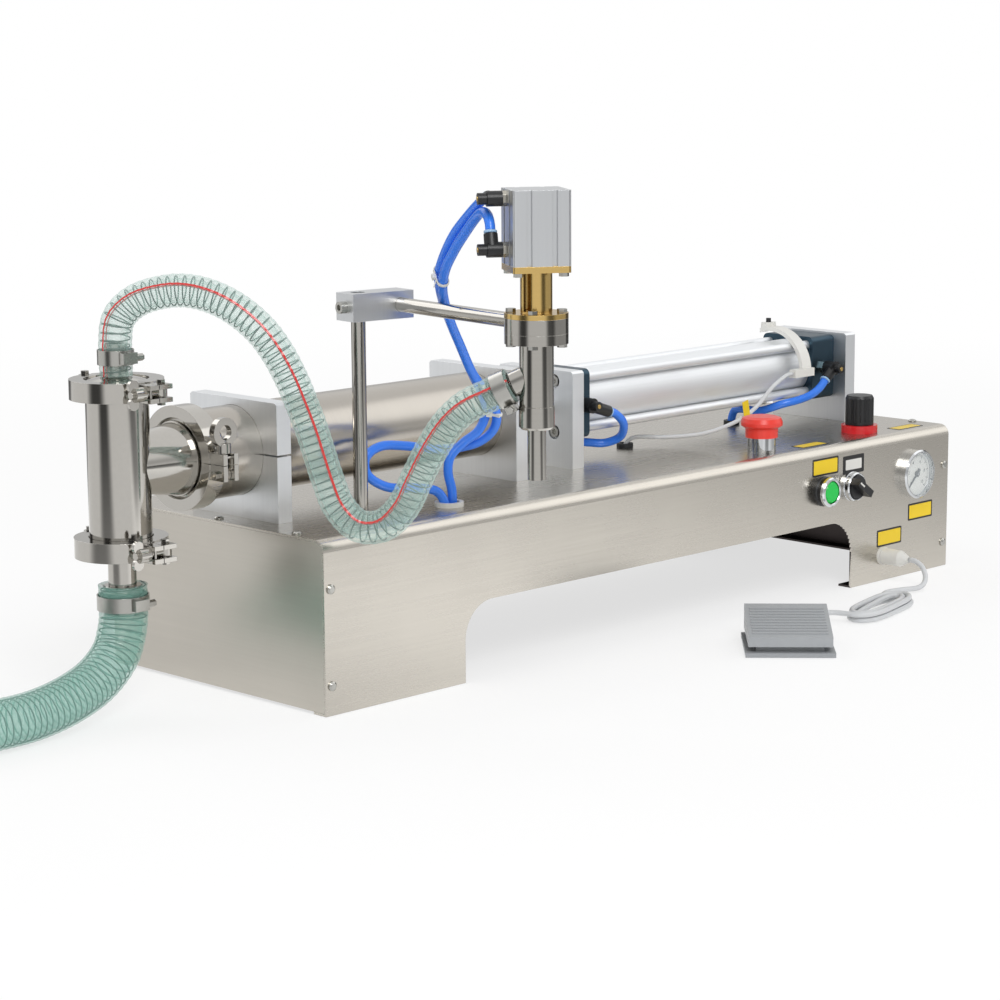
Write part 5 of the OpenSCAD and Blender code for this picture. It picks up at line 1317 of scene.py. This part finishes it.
def floor_material(colour):
    """Matt white studio floor: it keeps a soft shadow, and fades into the white far off."""
    material, tree, place = new_material("studio_paper")
    parts = node(tree, "ShaderNodeSeparateXYZ", {0: place}).outputs
    away = result(tree, "ShaderNodeVectorMath", {0: place}, "Value", operation="LENGTH")
    share = remap(tree, away, SHADOW_SHARE, 1.0, SHADOW_NEAR, SHADOW_FAR, "SMOOTHSTEP")
    glossy = result(tree, "ShaderNodeLightPath", socket="Is Glossy Ray")
    far = remap(tree, away, 0.0, 1.0, GAPS_NEAR, GAPS_FAR, "SMOOTHSTEP")
    gaps = remap(tree, calc(tree, "MULTIPLY", far, glossy), 1.0, panel_level(tree, parts))
    right, left = (remap(tree, parts["X"], **slope) for slope in (SLOPE, LEFT_SLOPE))
    slope = remap(tree, glossy, 1.0, calc(tree, "MULTIPLY", right, left))
    glow = {"Color": colour, "Strength": calc(tree, "MULTIPLY", gaps, slope)}
    both = {
        0: calc(tree, "MULTIPLY", seen_directly(tree), share),
        1: result(tree, "ShaderNodeBsdfDiffuse", {"Color": colour}),
        2: result(tree, "ShaderNodeEmission", glow),
    }
    return with_shader(material, result(tree, "ShaderNodeMixShader", both))


def surround(strength):
    """A world that is white to look at, lights the object evenly, and gives metal soft bands."""
    world = bpy.data.worlds.new("surround")
    world.use_nodes = True
    tree = world.node_tree
    tree.nodes.clear()
    path = node(tree, "ShaderNodeLightPath").outputs
    way = result(tree, "ShaderNodeTexCoord", socket="Generated")
    parts = node(tree, "ShaderNodeSeparateXYZ", {0: way}).outputs
    steep = calc(tree, "ABSOLUTE", parts["Z"])
    walls = panel_level(tree, parts)
    walls = remap(tree, steep, walls, 1.0, GAPS_LOW, GAPS_HIGH, "SMOOTHSTEP")
    off_band = calc(tree, "ABSOLUTE", calc(tree, "SUBTRACT", parts["Z"], BAND_HEIGHT))
    band = remap(tree, off_band, BAND_LEVEL, 1.0, 0.0, BAND_HALF, "SMOOTHSTEP")
    mirrored = calc(tree, "MULTIPLY", band, walls)
    level = remap(tree, path["Is Glossy Ray"], strength, mirrored)
    plain = calc(tree, "MAXIMUM", path["Is Camera Ray"], path["Is Transmission Ray"])
    white = {"Color": (1, 1, 1, 1), "Strength": remap(tree, plain, level, 1.0)}
    sky = result(tree, "ShaderNodeBackground", white)
    node(tree, "ShaderNodeOutputWorld", {"Surface": sky})
    bpy.context.scene.world = world


STEPS = [
    FILLER_OT_camera,
    FILLER_OT_finishes,
    FILLER_OT_labels,
    FILLER_OT_gauge,
    FILLER_OT_small_parts,
    FILLER_OT_hoses,
    FILLER_OT_air_tubes,
    FILLER_OT_cables,
    FILLER_OT_stage,
]


class FILLER_PT_panel(bpy.types.Panel):
    """Lists the steps that dress the filler"""

    bl_idname = "FILLER_PT_panel"
    bl_label = "Bench Filler"
    bl_space_type = "VIEW_3D"
    bl_region_type = "UI"
    bl_category = "Bench Filler"

    def draw(self, context):
        layout = self.layout
        for group in (
            context.scene.filler_hoses,
            context.scene.filler_finishes,
            context.scene.filler_studio,
        ):
            box = layout.box()
            for key in group.bl_rna.properties.keys():
                if key not in ("rna_type", "name"):
                    box.prop(group, key)
        for step in STEPS:
            layout.operator(step.bl_idname)


GROUPS = {
    "filler_hoses": FillerHoses,
    "filler_finishes": FillerFinishes,
    "filler_studio": FillerStudio,
}


def register():
    for name, group in GROUPS.items():
        bpy.utils.register_class(group)
        setattr(bpy.types.Scene, name, bpy.props.PointerProperty(type=group))
    for step in STEPS:
        bpy.utils.register_class(step)
    bpy.utils.register_class(FILLER_PT_panel)


def unregister():
    bpy.utils.unregister_class(FILLER_PT_panel)
    for step in reversed(STEPS):
        bpy.utils.unregister_class(step)
    for name, group in GROUPS.items():
        delattr(bpy.types.Scene, name)
        bpy.utils.unregister_class(group)


def main():
    register()
    for step in STEPS:
        area, name = step.bl_idname.split(".")
        getattr(getattr(bpy.ops, area), name)()


if __name__ == "__main__":
    main()
